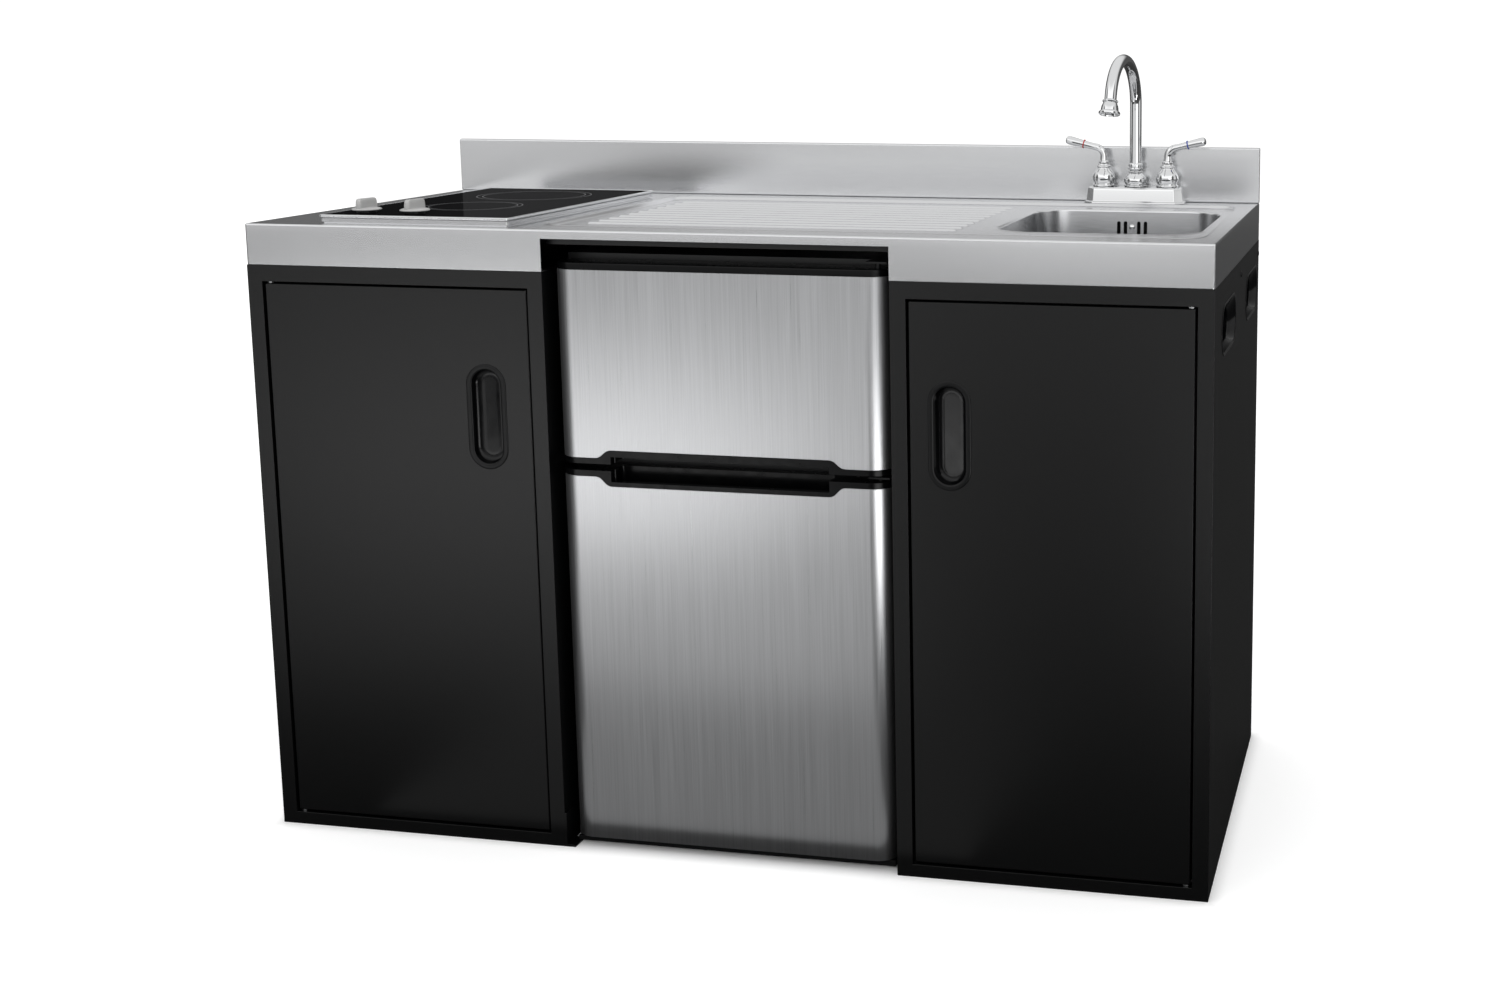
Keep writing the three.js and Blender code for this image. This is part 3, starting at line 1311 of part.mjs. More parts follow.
// Open-topped crisper box with a pull lip.
function crisper() {
  const [x0, x1] = [fridgeLeft + fridgeWall + 2, fridgeRight - fridgeWall - 2];
  const [y0, y1] = [crisperFront, stepFront - 4];
  const [z0, z1] = [fridgeFloor + seat, fridgeFloor + crisperHeight];
  const ring = (grow) => roundedOutline(x0 - grow, x1 + grow, y0 - grow, y1 + grow, 12 + grow, 3);
  const box = loft([station('z', z0, ring(-6)), station('z', z1, ring(0))]);
  const hollow = loft([
    station('z', z0 + crisperWall, ring(-6 - crisperWall)), station('z', z1 + overcut, ring(-crisperWall)),
  ]);
  const lip = block(x0 + crisperLipInset, x1 - crisperLipInset, y0 - crisperLip, y0 + crisperWall / 2,
    z1 - crisperLip / 2, z1);
  return joined(cut(box, hollow), lip);
}

// Hermetic compressor can on its foot plate.
function compressor() {
  const [x, y] = [(fridgeLeft + fridgeRight) / 2 + compressorSideShift, (machineRoomFront + fridgeBack) / 2];
  const z = (share) => fridgeBottom + share * compressorHeight;
  const [r, flange] = [compressorRadius, compressorRadius + compressorFlange];
  const can = turned([
    [0, z(0.02)], [0.77 * r, z(0.02)], [0.95 * r, z(0.11)], [r, z(0.2)], [r, z(0.46)], [flange, z(0.47)],
    [flange, z(0.5)], [r, z(0.51)], [r, z(0.73)], [0.87 * r, z(0.87)], [0.53 * r, z(0.97)], [0, z(1)],
  ], x, y, 16);
  const plate = block(x - flange - compressorFoot / 2, x + flange + compressorFoot / 2,
    y - compressorFoot, y + compressorFoot, z(0), z(0.03));
  return joined(can, plate);
}

function thermostatPlace() {
  const wall = fridgeRight - fridgeWall;
  const z = fridgeCeiling - thermostatHeight / 2 - thermostatDrop;
  return { x: wall - thermostatDepth, y: fridgeFront + thermostatFromDoor, z, wall };
}

// Control box on the right-hand lining, with its dial facing into the compartment.
function thermostatHousing() {
  const { x, y, z, wall } = thermostatPlace();
  const outline = (grow) => centredOutline(y, z, thermostatWidth + 2 * grow,
    thermostatHeight + 2 * grow, 2 * thermostatBevel, 3);
  const body = loft([
    station('x', x, outline(-thermostatBevel)),
    station('x', x + thermostatBevel, outline(0)),
    station('x', wall - seat, outline(0)),
  ]);
  return cut(body, rod('x', x - overcut, x + dialShaftLength + 2, y, z, dialShaftRadius + seat, 12));
}

// Dial built about its own +Z axis, shaft downwards.
function thermostatDial() {
  const disc = turned([
    [0, seat], [dialRadius, seat], [dialRadius, 0.64 * dialDepth],
    [0.84 * dialRadius, 0.82 * dialDepth], [0, 0.82 * dialDepth],
  ]);
  const bar = block(-dialBarWidth / 2, dialBarWidth / 2, -0.84 * dialRadius, 0.84 * dialRadius,
    dialDepth / 3, dialDepth);
  const shaft = rod('z', -dialShaftLength, dialDepth / 3, 0, 0, dialShaftRadius, 12);
  return joined(disc, bar, shaft);
}

// ---------------------------------------------------------------- assembly
const unit = new THREE.Group();
unit.position.set(-unitWidth / 2, -unitDepth / 2, 0);

function add(name, body, material, parent = unit) {
  const mesh = new THREE.Mesh(geometryOf(body), material());
  mesh.name = name;
  parent.add(mesh);
  return mesh;
}

function groupAt(x, y, z, turnAboutZ = 0) {
  const group = new THREE.Group();
  group.position.set(x, y, z);
  group.rotation.z = THREE.MathUtils.degToRad(turnAboutZ);
  unit.add(group);
  return group;
}

const leftDoor = doorPlan(0, bayLeft, 'left', leftPullFromLatchEdge);
const rightDoor = doorPlan(bayRight, unitWidth, 'right', rightPullFromLatchEdge);

add('left_cabinet', carcass(0, bayLeft, leftDoor, 0), powderBlack);
add('right_cabinet', cut(carcass(bayRight, unitWidth, rightDoor, unitWidth), plumbingHole()), powderBlack);
add('left_cabinet_floor', cabinetFloor(0, bayLeft), powderBlack);
add('right_cabinet_floor', cabinetFloor(bayRight, unitWidth), powderBlack);
for (const [side, door] of [['left', leftDoor], ['right', rightDoor]]) {
  add(`${side}_door`, doorPan(door), powderBlack);
  add(`${side}_door_pull`, doorPull(door), blackPlastic);
  add(`${side}_door_top_pin`, pivotPin(door, true), zincSteel);
  add(`${side}_door_bottom_pin`, pivotPin(door, false), zincSteel);
  add(`${side}_door_catch`, doorCatch(door), blackPlastic);
}
for (const [side, outerX, inward] of [['left', 0, 1], ['right', unitWidth, -1]]) {
  add(`${side}_front_grip`, sideGrip(frontGripFromFront, outerX, inward), blackPlastic);
  add(`${side}_rear_grip`, sideGrip(rearGripFromFront, outerX, inward), blackPlastic);
}
add('bay_bracket', bayBracket(), powderBlack);
add('bay_rail', bayRail(), powderBlack);

add('worktop', worktop(), stainless);
add('backsplash', backsplash(), stainless);

add('sink_bowl', sinkBowl(), stainless);
add('overflow_pipe', overflowPipe(), greyPlastic);
add('drain_body', drainBody(), chrome);
add('drain_strainer', drainStrainer(), chrome);
add('waste_trap', wasteTrap(), greyPlastic);

add('tap_base', tapBase(), chrome);
add('hot_bell', bell(tapCentreX - tapSpacing, bellHeight), chrome);
add('cold_bell', bell(tapCentreX + tapSpacing, bellHeight), chrome);
add('spout_bell', bell(tapCentreX, 0.75 * bellHeight), chrome);
add('hot_shank', shank(tapCentreX - tapSpacing), zincSteel);
add('cold_shank', shank(tapCentreX + tapSpacing), zincSteel);

const spoutGroup = groupAt(tapCentreX, tapCentreY, 0, -spoutTurn);
add('spout', spout(), chrome, spoutGroup);
const outlet = spoutEnd();
const aeratorMesh = add('spout_aerator', aerator(), chrome, spoutGroup);
aeratorMesh.position.set(0, -outlet[0], outlet[1]);
aeratorMesh.rotation.x = -THREE.MathUtils.degToRad(180 - spoutSweep);

const leverFoot = tapBaseTop + bellHeight + seat;
add('hot_lever', lever(), chrome, groupAt(tapCentreX - tapSpacing, tapCentreY, leverFoot, 180));
add('cold_lever', lever(), chrome, groupAt(tapCentreX + tapSpacing, tapCentreY, leverFoot));

add('hob_frame', hobFrame(), stainless);
add('hob_glass', hobGlass(), blackGlass);
add('hob_body', hobBody(), blackEnamel);
add('radiant_heaters', radiantHeaters(), heaterWhite);
add('hob_regulators', hobRegulators(), blackPlastic);
add('left_knob', knob(), whiteKnob, groupAt(leftKnobX, knobY, glassTop, -knobTurn));
add('right_knob', knob(), whiteKnob, groupAt(rightKnobX, knobY, glassTop, -knobTurn));

add('fridge_cabinet', fridgeCabinet(), whiteLiner);
add('fridge_base', fridgeBase(), blackPlastic);
add('freezer_door', freezerDoor(), brushedDoor);
add('fridge_door', fridgeDoor(), brushedDoor);
add('freezer_handle', freezerHandle(), blackPlastic);
add('fridge_handle', fridgeHandle(), blackPlastic);
add('freezer_gasket', gasket(freezerFloor - 17, freezerCeiling + 17), greyRubber);
add('fridge_gasket', gasket(fridgeFloor - 18, fridgeCeiling + 17), greyRubber);
add('top_hinge', topHinge(), zincSteel);
add('middle_hinge', middleHinge(), zincSteel);
add('bottom_hinge', bottomHinge(), zincSteel);
add('fridge_shelf', fridgeShelf(), clearGlass);
add('crisper', crisper(), frostedPlastic);
add('compressor', compressor(), blackEnamel);
add('thermostat_housing', thermostatHousing(), whiteLiner);
const dialPlace = thermostatPlace();
const dialMesh = add('thermostat_dial', thermostatDial(), whiteKnob);
dialMesh.position.set(dialPlace.x, dialPlace.y, dialPlace.z);
dialMesh.rotation.y = -Math.PI / 2;

export default unit;
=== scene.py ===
from math import cos, pi, radians, sin, tan

import bmesh
import bpy
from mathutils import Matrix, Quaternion, Vector, geometry


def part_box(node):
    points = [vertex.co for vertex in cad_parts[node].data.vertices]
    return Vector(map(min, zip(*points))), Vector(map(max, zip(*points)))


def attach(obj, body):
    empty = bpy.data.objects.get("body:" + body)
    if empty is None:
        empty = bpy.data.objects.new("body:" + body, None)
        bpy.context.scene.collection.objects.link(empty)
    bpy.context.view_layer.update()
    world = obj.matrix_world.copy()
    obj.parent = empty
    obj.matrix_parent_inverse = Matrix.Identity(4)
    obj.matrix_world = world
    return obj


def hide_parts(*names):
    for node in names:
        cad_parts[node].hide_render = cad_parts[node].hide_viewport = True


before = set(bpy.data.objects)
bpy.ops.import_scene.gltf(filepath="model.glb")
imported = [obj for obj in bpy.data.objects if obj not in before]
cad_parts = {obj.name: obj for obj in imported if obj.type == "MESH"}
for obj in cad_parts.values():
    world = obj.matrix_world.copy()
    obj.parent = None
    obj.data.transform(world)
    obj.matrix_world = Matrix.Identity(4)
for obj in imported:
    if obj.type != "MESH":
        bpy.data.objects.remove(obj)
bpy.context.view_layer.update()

# Cabinets, their floors, doors and the foot bracket of the refrigerator bay.
# Folded and spot-welded 1.5 mm sheet steel with a satin black powder coat of very fine texture.
# Places are in millimetres from the unit's front left foot, as on a drawing.
mm = 0.001
foot = Vector(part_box("left_cabinet")[0])


def reach(node):
    """Lowest and highest corner of a node, in millimetres from the unit's front left foot."""
    low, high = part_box(node)
    return (Vector(low) - foot) / mm, (Vector(high) - foot) / mm


class Value:
    """A number that varies over a surface; sums and products of it add their Math nodes."""

    def __init__(self, nodes, socket):
        self.nodes = nodes
        self.socket = socket

    def math(self, operation, *others):
        sockets = dict(enumerate((self.socket, *others)))
        node = self.nodes.add("ShaderNodeMath", {"operation": operation}, sockets)
        return Value(self.nodes, node.outputs[0])

    def __add__(self, other):
        return self.math("ADD", other)

    def __mul__(self, other):
        return self.math("MULTIPLY", other)

    def __sub__(self, other):
        return self.math("SUBTRACT", other)

    def __rsub__(self, other):
        return (self * -1) + other

    __radd__ = __add__
    __rmul__ = __mul__

    def between(self, low, high):
        """0 at or below low, 1 at or above high, smooth between them."""
        node = self.nodes.add(
            "ShaderNodeMapRange",
            {"interpolation_type": "SMOOTHSTEP"},
            {"Value": self.socket, "From Min": low, "From Max": high},
        )
        return Value(self.nodes, node.outputs["Result"])


class Nodes:
    """The nodes of one material or of the studio round the unit."""

    def __init__(self, tree):
        self.tree = tree

    def add(self, kind, settings=None, sockets=None):
        node = self.tree.nodes.new(kind)
        for name, setting in (settings or {}).items():
            setattr(node, name, setting)
        for key, given in (sockets or {}).items():
            self.feed(node.inputs[key], given)
        return node

    def feed(self, socket, given):
        if isinstance(given, Value):
            given = given.socket
        if isinstance(given, bpy.types.NodeSocket):
            self.tree.links.new(given, socket)
        else:
            socket.default_value = given

    def blend(self, first, second, share):
        """A colour that goes from first to second as share goes from 0 to 1."""
        node = self.add("ShaderNodeMix", {"data_type": "RGBA"}, {0: share, 6: first, 7: second})
        return node.outputs[2]


class Finish(Nodes):
    """One finish of the unit, as a Principled material placed in the unit's own metres."""

    def __init__(self, name, slot, colour, roughness, metallic=0, **constants):
        self.material = bpy.data.materials.new(name)
        self.material.use_nodes = True
        super().__init__(self.material.node_tree)
        self.slot = slot
        self.colour = (*colour, 1)
        self.roughness = roughness
        self.shader = self.tree.nodes["Principled BSDF"]
        self.place = self.add("ShaderNodeTexCoord").outputs["Object"]
        self.set("Base Color", self.colour)
        self.set("Roughness", roughness)
        self.set("Metallic", metallic)
        for socket, given in constants.items():
            self.set(socket.replace("_", " "), given)

    def set(self, socket, given):
        self.feed(self.shader.inputs[socket], given)

    def along(self, axis):
        """How far a point lies along one axis of the unit, in metres from the unit's middle."""
        node = self.add("ShaderNodeSeparateXYZ", None, {"Vector": self.place})
        return Value(self, node.outputs[axis])

    def grain(self, scale, stretch=(1, 1, 1), detail=2):
        """Noise of about 0 to 1, drawn out where stretch is small."""
        place = self.add("ShaderNodeMapping", None, {"Vector": self.place, "Scale": stretch})
        sockets = {"Vector": place.outputs["Vector"], "Scale": scale, "Detail": detail}
        noise = self.add("ShaderNodeTexNoise", None, sockets)
        return Value(self, noise.outputs[0]).between(0.25, 0.75)

    def tint(self, darker, lighter, share):
        """Base colour between two shades of the finish's own colour."""
        shades = [
            (*(min(1, part * factor) for part in self.colour[:3]), 1)
            for factor in (darker, lighter)
        ]
        self.set("Base Color", self.blend(*shades, share))

    def duller(self, rise):
        """Roughness that varies upwards from the finish's own."""
        self.set("Roughness", rise + self.roughness)

    def relief(self, height, depth, strength, rounding=None):
        """Surface relief of the given depth in metres, with softened edges if asked."""
        sockets = {"Height": height, "Distance": depth, "Strength": strength}
        if rounding:
            bevel = self.add("ShaderNodeBevel", {"samples": 6}, {"Radius": rounding})
            sockets["Normal"] = bevel.outputs["Normal"]
        self.set("Normal", self.add("ShaderNodeBump", None, sockets).outputs["Normal"])


def dress(finish, *names):
    """Gives modelled pieces a finish and leaves their shapes as they are."""
    for name in names:
        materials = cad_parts[name].data.materials
        materials.clear()
        materials.append(finish.material)


powder_coat = Finish("powder_coat", "powder_black", (0.0008, 0.0009, 0.001), 0.32, IOR=1.42)
orange_peel = powder_coat.grain(700, detail=3)
powder_coat.duller(orange_peel * 0.06)
powder_coat.relief(orange_peel, 0.00004, 0.6, rounding=0.0009)
for side in ("left", "right"):
    dress(powder_coat, f"{side}_cabinet", f"{side}_cabinet_floor", f"{side}_door")
dress(powder_coat, "bay_bracket")

# Recessed pulls of the two doors, oval cups in glossy black moulded plastic.
# Each is pushed through an oval hole in the door and held by its rim; the cup's floor
# deepens towards the door's free edge, where the fingers hook.
scene = bpy.context.scene
pull_rim = 8
rim_roll = 2.4
cup_wall = 1.4
floor_tilt, floor_lift = 0.16, 2.6


def stadium(u, v, width, height, steps=12):
    """An upright or lying oval with round ends, as points about (u, v)."""
    radius = min(width, height) / 2
    return rounded(u - width / 2, u + width / 2, v - height / 2, v + height / 2, radius, steps)


def rounded(u0, u1, v0, v1, radius, steps=8):
    """A rounded rectangle, counter-clockwise from its lower right corner."""
    radius = max(0.05, min(radius, (u1 - u0) / 2, (v1 - v0) / 2))
    corners = (
        (u1 - radius, v0 + radius, -90),
        (u1 - radius, v1 - radius, 0),
        (u0 + radius, v1 - radius, 90),
        (u0 + radius, v0 + radius, 180),
    )
    return [point for u, v, start in corners for point in quarter(u, v, radius, start, steps)]


def quarter(u, v, radius, start, steps):
    """A quarter of a circle about (u, v), counter-clockwise from a start in degrees."""
    turns = [radians(start + 90 * step / steps) for step in range(steps + 1)]
    return [(u + radius * cos(turn), v + radius * sin(turn)) for turn in turns]


def station(place, outline, axis="z"):
    """An outline set at a place along an axis, as a ring of points."""
    at = "xyz".index(axis)
    return [Vector((*point[:at], place, *point[at:])) for point in outline]


def skin(rings, caps=(True, True), around=False):
    """A skin over rings of equal counts; around joins the last ring to the first."""
    count = len(rings[0])
    points = [point for ring in rings for point in ring]
    faces = []
    spans = len(rings) if around else len(rings) - 1
    for i in range(spans):
        a, b = i * count, ((i + 1) % len(rings)) * count
        for j in range(count):
            k = (j + 1) % count
            faces.append((a + j, a + k, b + k, b + j))
    if caps[0]:
        faces.append(tuple(reversed(range(count))))
    if caps[1]:
        faces.append(tuple(range(len(points) - count, len(points))))
    return points, faces


def together(*meshes):
    """Several meshes as one."""
    points, faces = [], []
    for more_points, more_faces in meshes:
        start = len(points)
        points.extend(more_points)
        faces.extend(tuple(start + index for index in face) for face in more_faces)
    return points, faces


def turn_outwards(data, weld=0):
    """Turns a mesh's faces outwards, after joining points nearer than weld."""
    work = bmesh.new()
    work.from_mesh(data)
    if weld:
        bmesh.ops.remove_doubles(work, verts=work.verts, dist=weld * mm)
    bmesh.ops.recalc_face_normals(work, faces=work.faces)
    work.to_mesh(data)
    work.free()


def placed(name, data):
    """A new object in the scene."""
    body = bpy.data.objects.new(name, data)
    scene.collection.objects.link(body)
    return body


def rough(mesh):
    """A mesh in the unit's millimetres as an object in the frame, still without a finish."""
    points, faces = mesh
    data = bpy.data.meshes.new("rough")
    data.from_pydata([foot + Vector(point) * mm for point in points], [], faces)
    turn_outwards(data)
    return placed("rough", data)


def tidy(body, edge=0, segments=2, crease=35):
    """Welds the skin, turns it outwards, rounds its sharp edges and smooths the rest."""
    turn_outwards(body.data, weld=0.01)
    angle = radians(crease)
    if edge:
        sharp = {"limit_method": "ANGLE", "angle_limit": angle}
        alter(body, "BEVEL", width=edge * mm, segments=segments, **sharp)
        settle(body)
    body.data.shade_smooth()
    body.data.set_sharp_from_angle(angle=angle)
    alter(body, "WEIGHTED_NORMAL", keep_sharp=True)
    settle(body)
    return body


def alter(body, kind, **settings):
    """Adds a modifier to a body; settle applies it."""
    change = body.modifiers.new(kind, kind)
    for name, setting in settings.items():
        setattr(change, name, setting)


def settle(body):
    """Applies the object's modifiers to its mesh."""
    bpy.context.view_layer.update()
    graph = bpy.context.evaluated_depsgraph_get()
    data = bpy.data.meshes.new_from_object(body.evaluated_get(graph))
    body.modifiers.clear()
    body.data = data


def carve(body, tools, operation="DIFFERENCE"):
    """Cuts the tools out of a body, or joins them to it, and drops them."""
    for tool in tools:
        alter(body, "BOOLEAN", operation=operation, solver="EXACT", object=tool)
    settle(body)
    for tool in tools:
        bpy.data.objects.remove(tool)


def fit(name, body, finish, moves_with, *nodes):
    """Names a mesh or a finished body, and gives it its finish and what it moves with."""
    if isinstance(body, tuple):
        body = tidy(rough(body))
    body.name = name
    body.data.name = name
    body.data.materials.clear()
    body.data.materials.append(finish.material)
    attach(body, moves_with)
    if nodes:
        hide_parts(*nodes)


glossy_black = Finish("glossy_black", "black_plastic", (0.002, 0.0021, 0.0024), 0.13, IOR=1.32)
rim_face = reach("left_door_pull")[0].y
rim_depth = (glossy_black.along(1) - foot.y) * (1 / mm)
satin_rim = 1 - rim_depth.between(rim_face + 1, rim_face + rim_roll)
glossy_black.duller(glossy_black.grain(60) * 0.06 + satin_rim * 0.2)

for side, towards_latch in (("left", 1), ("right", -1)):
    low, high = reach(f"{side}_door_pull")
    centre = (low + high) / 2
    width, height = high.x - low.x - 2 * pull_rim, high.z - low.z - 2 * pull_rim
    deep = high.y - low.y - cup_wall
    # how far a section is set out from the cup's opening, and how deep it lies
    sections = (
        (-9, deep + cup_wall), (-3, deep + 1.2), (cup_wall, 0.78 * deep), (cup_wall, 1.6),
        (pull_rim, 1.5), (pull_rim, 0.9), (pull_rim - 0.5, 0.35), (pull_rim - 1.6, 0),
        (2.6, 0), (1.2, 0.3), (0.3, 1.1), (0, rim_roll), (-0.5, 0.62 * deep),
        (-1.4, 0.8 * deep), (-3.2, 0.93 * deep), (-6.5, deep), (-10.5, deep),
        (-14, 0.98 * deep),
    )
    rings = []
    for grow, depth in sections:
        outline = stadium(centre.x, centre.z, width + 2 * grow, height + 2 * grow)
        sunk = max(0, depth - rim_roll) / (deep - rim_roll)
        tilt = floor_tilt * sunk * towards_latch
        start = low.y + depth - floor_lift * sunk
        rings.append([Vector((x, start + tilt * (x - centre.x), z)) for x, z in outline])
    fit(f"{side}_pull_cup", skin(rings), glossy_black, f"{side}_door", f"{side}_door_pull")

# Pivot pins, catches and the folded rail under the worktop's front lip.
# Zinc-plated turned pins carry the doors, moulded magnetic catches hold them, and the
# rail is powder-coated sheet that stiffens the lip over the refrigerator.


def mottled(name, slot, colour, roughness, shades, scale, **constants):
    """A finish whose colour wanders a little between two shades of itself."""
    finish = Finish(name, slot, colour, roughness, **constants)
    finish.tint(*shades, finish.grain(scale))
    return finish


zinc = mottled("zinc", "zinc_steel", (0.36, 0.365, 0.37), 0.34, (0.85, 1.1), 160, metallic=1)
satin_black = Finish("satin_black", "black_plastic", (0.003, 0.0032, 0.0035), 0.42, IOR=1.36)
satin_black.relief(satin_black.grain(1200), 0.00003, 0.5, rounding=0.0006)

for side in ("left", "right"):
    dress(zinc, f"{side}_door_top_pin", f"{side}_door_bottom_pin")
    dress(satin_black, f"{side}_door_catch")
dress(powder_coat, "bay_rail")

# Lifting recesses in the outer sides, black moulded cups snapped into oval holes.
# A rounded lip lies on the sheet, a ramp leads in and the hollow behind takes the fingers.
grip_lip = 8
mouth_shorter, mouth_lower, mouth_drop = 38, 29, 6
# set out by, share of the way from the lip to the mouth, depth behind the sheet
grip_sections = (
    (-8, 1, 35.4), (1.5, 1, 34), (3, 0.9, 10), (1, 0, 2.2), (8, 0, 1.9), (8, 0, 1.6), (0.2, 0, 1.5),
    (0.2, 0, -0.5), (-0.6, 0, -0.9), (-2.4, 0, -0.9), (-3.4, 0, -0.4), (-4, 0.05, 0.6),
    (0, 0.55, 5), (0.8, 0.92, 8.4), (0.2, 1, 10.5), (0, 1, 30), (-1.2, 1, 32.6), (-4, 1, 34),
    (-12, 1, 34),
)
for side, outward in (("left", -1), ("right", 1)):
    for end in ("front", "rear"):
        node = f"{side}_{end}_grip"
        low, high = reach(node)
        sheet_face = high.x if side == "right" else low.x
        centre = (low + high) / 2
        length = high.y - low.y - 2 * grip_lip
        height = high.z - low.z - 2 * grip_lip
        rings = []
        for grow, share, depth in grip_sections:
            long_way = length - share * mouth_shorter + 2 * grow
            high_way = height - share * mouth_lower + 2 * grow
            outline = stadium(centre.y, centre.z - share * mouth_drop, long_way, high_way)
            rings.append(station(sheet_face - outward * depth, outline, "x"))
        fit(f"{side}_{end}_lifting_cup", skin(rings), glossy_black, "unit", node)

# Worktop, one pressing of 1.5 mm satin stainless steel brushed from end to end.
# The edges are folded down as aprons, the drainer is a shallow recess with a soft raised
# edge and eleven raised ribs, and the sheet rolls down into the bowl.
top_sheet = 1.5
top_low, top_high = reach("worktop")
tray_top = reach("hob_frame")[0].z
apron_foot = top_low.z
bay_left, bay_right = reach("left_cabinet")[1].x, reach("right_cabinet")[0].x
lip_foot = tray_top - 12.5
fold = 2.6
open_ends = (False, False)
recess_edge = (418, 1347, 57, 542, 30)
recess_floor = tray_top - 4
rib_ends = (454, 1000)
rib_rows = [130 + 34.3 * row for row in range(11)]
basin_low, basin_high = reach("sink_bowl")
hob_low, hob_high = reach("hob_frame")


def edge_of(low, high, inset, radius):
    """A box's outline in plan, set in from its sides, as a rounded rectangle's four sides."""
    return (low.x + inset, high.x - inset, low.y + inset, high.y - inset, radius)


def middle(node):
    low, high = reach(node)
    return (low + high) / 2


def grown(edge, grow, steps=8):
    """A rounded rectangle set out by grow on every side."""
    u0, u1, v0, v1, radius = edge
    return rounded(u0 - grow, u1 + grow, v0 - grow, v1 + grow, radius + grow, steps)


def circle(u, v, radius, count=48):
    turns = (2 * pi * step / count for step in range(count))
    return [(u + radius * cos(turn), v + radius * sin(turn)) for turn in turns]


def flat(height, outside, *holes):
    """A flat sheet at a height between one outline and its holes."""
    flat_points, edges = [], []
    for outline in (outside, *holes):
        start = len(flat_points)
        flat_points.extend(Vector(point) for point in outline)
        count = len(outline)
        edges.extend((start + i, start + (i + 1) % count) for i in range(count))
    found, _, triangles = geometry.delaunay_2d_cdt(flat_points, edges, [], 1, 1e-6)[:3]
    kept = []
    for triangle in triangles:
        centre = sum((found[index] for index in triangle), Vector((0, 0))) / len(triangle)
        if not any(encloses(hole, centre) for hole in holes):
            kept.append(triangle)
    return [Vector((point.x, point.y, height)) for point in found], kept


def encloses(outline, point):
    """Whether a point lies inside an outline, by counting the edges to its right."""
    inside = False
    for i, (u0, v0) in enumerate(outline):
        u1, v1 = outline[i - 1]
        if (v0 > point.y) != (v1 > point.y):
            crossing = (u1 - u0) * (point.y - v0) / (v1 - v0) + u0
            inside = inside != (point.x < crossing)
    return inside


def pressed(edge, profile, level, steps=8, caps=open_ends, around=False):
    """A skin along a rounded rectangle; the profile lists (grow, height above level)."""
    rings = [station(level + rise, grown(edge, grow, steps)) for grow, rise in profile]
    return skin(rings, caps, around)


def tray_corners(inset):
    return grown((0, top_high.x, 0, top_high.y, 3.2), -inset, 4)


def folded_over(inset, drop):
    bay_sides = [(bay_left, inset), (bay_right, inset)]
    return station(tray_top - drop, tray_corners(inset) + bay_sides)


fold_rings = []
for angle in (90, 67, 45, 22, 0):
    turn = radians(angle)
    fold_rings.append(folded_over(fold * (1 - cos(turn)), fold * (1 - sin(turn))))
fold_rings.append(folded_over(0, tray_top - lip_foot))

# the recess: a raised bead, then a slope down to its floor
bead = (
    (4.6, 0), (3.2, 0.35), (1.6, 0.8), (0.2, 0.7), (-0.9, -0.1), (-2.4, -1.9), (-3.6, -3.3),
    (-4.8, -3.85), (-6.2, -4),
)
# the rolled edge round the bowl, and one rib across its half width
roll = ((8, 0), (6.2, 0.45), (4.4, 0.7), (2.8, 0.55), (1.4, -0.1), (0.4, -1.3), (0, -3))
rib_profile = ((5.6, 0), (4.7, 0.25), (3.6, 1), (2.6, 1.85), (1.6, 2.4), (0.7, 2.6))
rib_foot = rib_profile[0][0]
rib_edges = [(rib_ends[0] + rib_foot, rib_ends[1] - rib_foot, row, row, 0) for row in rib_rows]

basin_edge = edge_of(basin_low, basin_high, 11, 60)
shank_places = [middle(f"{side}_shank") for side in ("hot", "cold")]
top_plate = flat(
    tray_top,
    [(point.x, point.y) for point in fold_rings[0]],
    grown(recess_edge, bead[0][0]),
    grown(edge_of(hob_low, hob_high, 13, 3), 0, 3),
    *[circle(place.x, place.y, 12, 24) for place in shank_places],
)
drainer_floor = flat(
    recess_floor,
    grown(recess_edge, bead[-1][0]),
    grown(basin_edge, roll[0][0], 12),
    *[grown(edge, rib_foot, 5) for edge in rib_edges],
)
rib_crests = [pressed(edge, rib_profile, recess_floor, 5, caps=(False, True)) for edge in rib_edges]


def apron_line(inset, height):
    """The apron in plan, from one side of the refrigerator bay round the back to the other."""
    return station(height, [(bay_right, inset), *tray_corners(inset), (bay_left, inset)])


def ribbon(lines):
    """A skin over open lines of equal counts."""
    points = [point for line in lines for point in line]
    count = len(lines[0])
    starts = [i * count + j for i in range(len(lines) - 1) for j in range(count - 1)]
    return points, [(a, a + 1, a + 1 + count, a + count) for a in starts]


apron_turn = 18
apron_profile = (
    (0, lip_foot), (0, apron_foot + 1.2), (0.35, apron_foot + 0.35), (1.2, apron_foot),
    (apron_turn, apron_foot),
)
apron = ribbon([apron_line(inset, height) for inset, height in apron_profile])
lip_lines = [[Vector((x, y, lip_foot)) for x in (bay_left, bay_right)] for y in (0, apron_turn)]

satin_steel = Finish("satin_steel", "stainless", (0.66, 0.665, 0.675), 0.22, 1)
long_brush = satin_steel.grain(1800, (0.02, 1, 1))
soft_cloud = satin_steel.grain(5, (0.6, 1, 1))
satin_steel.tint(0.985, 1.015, long_brush * 0.7 + soft_cloud * 0.3)
satin_steel.duller(long_brush * 0.025)
satin_steel.relief(long_brush, 0.0000015, 0.2)

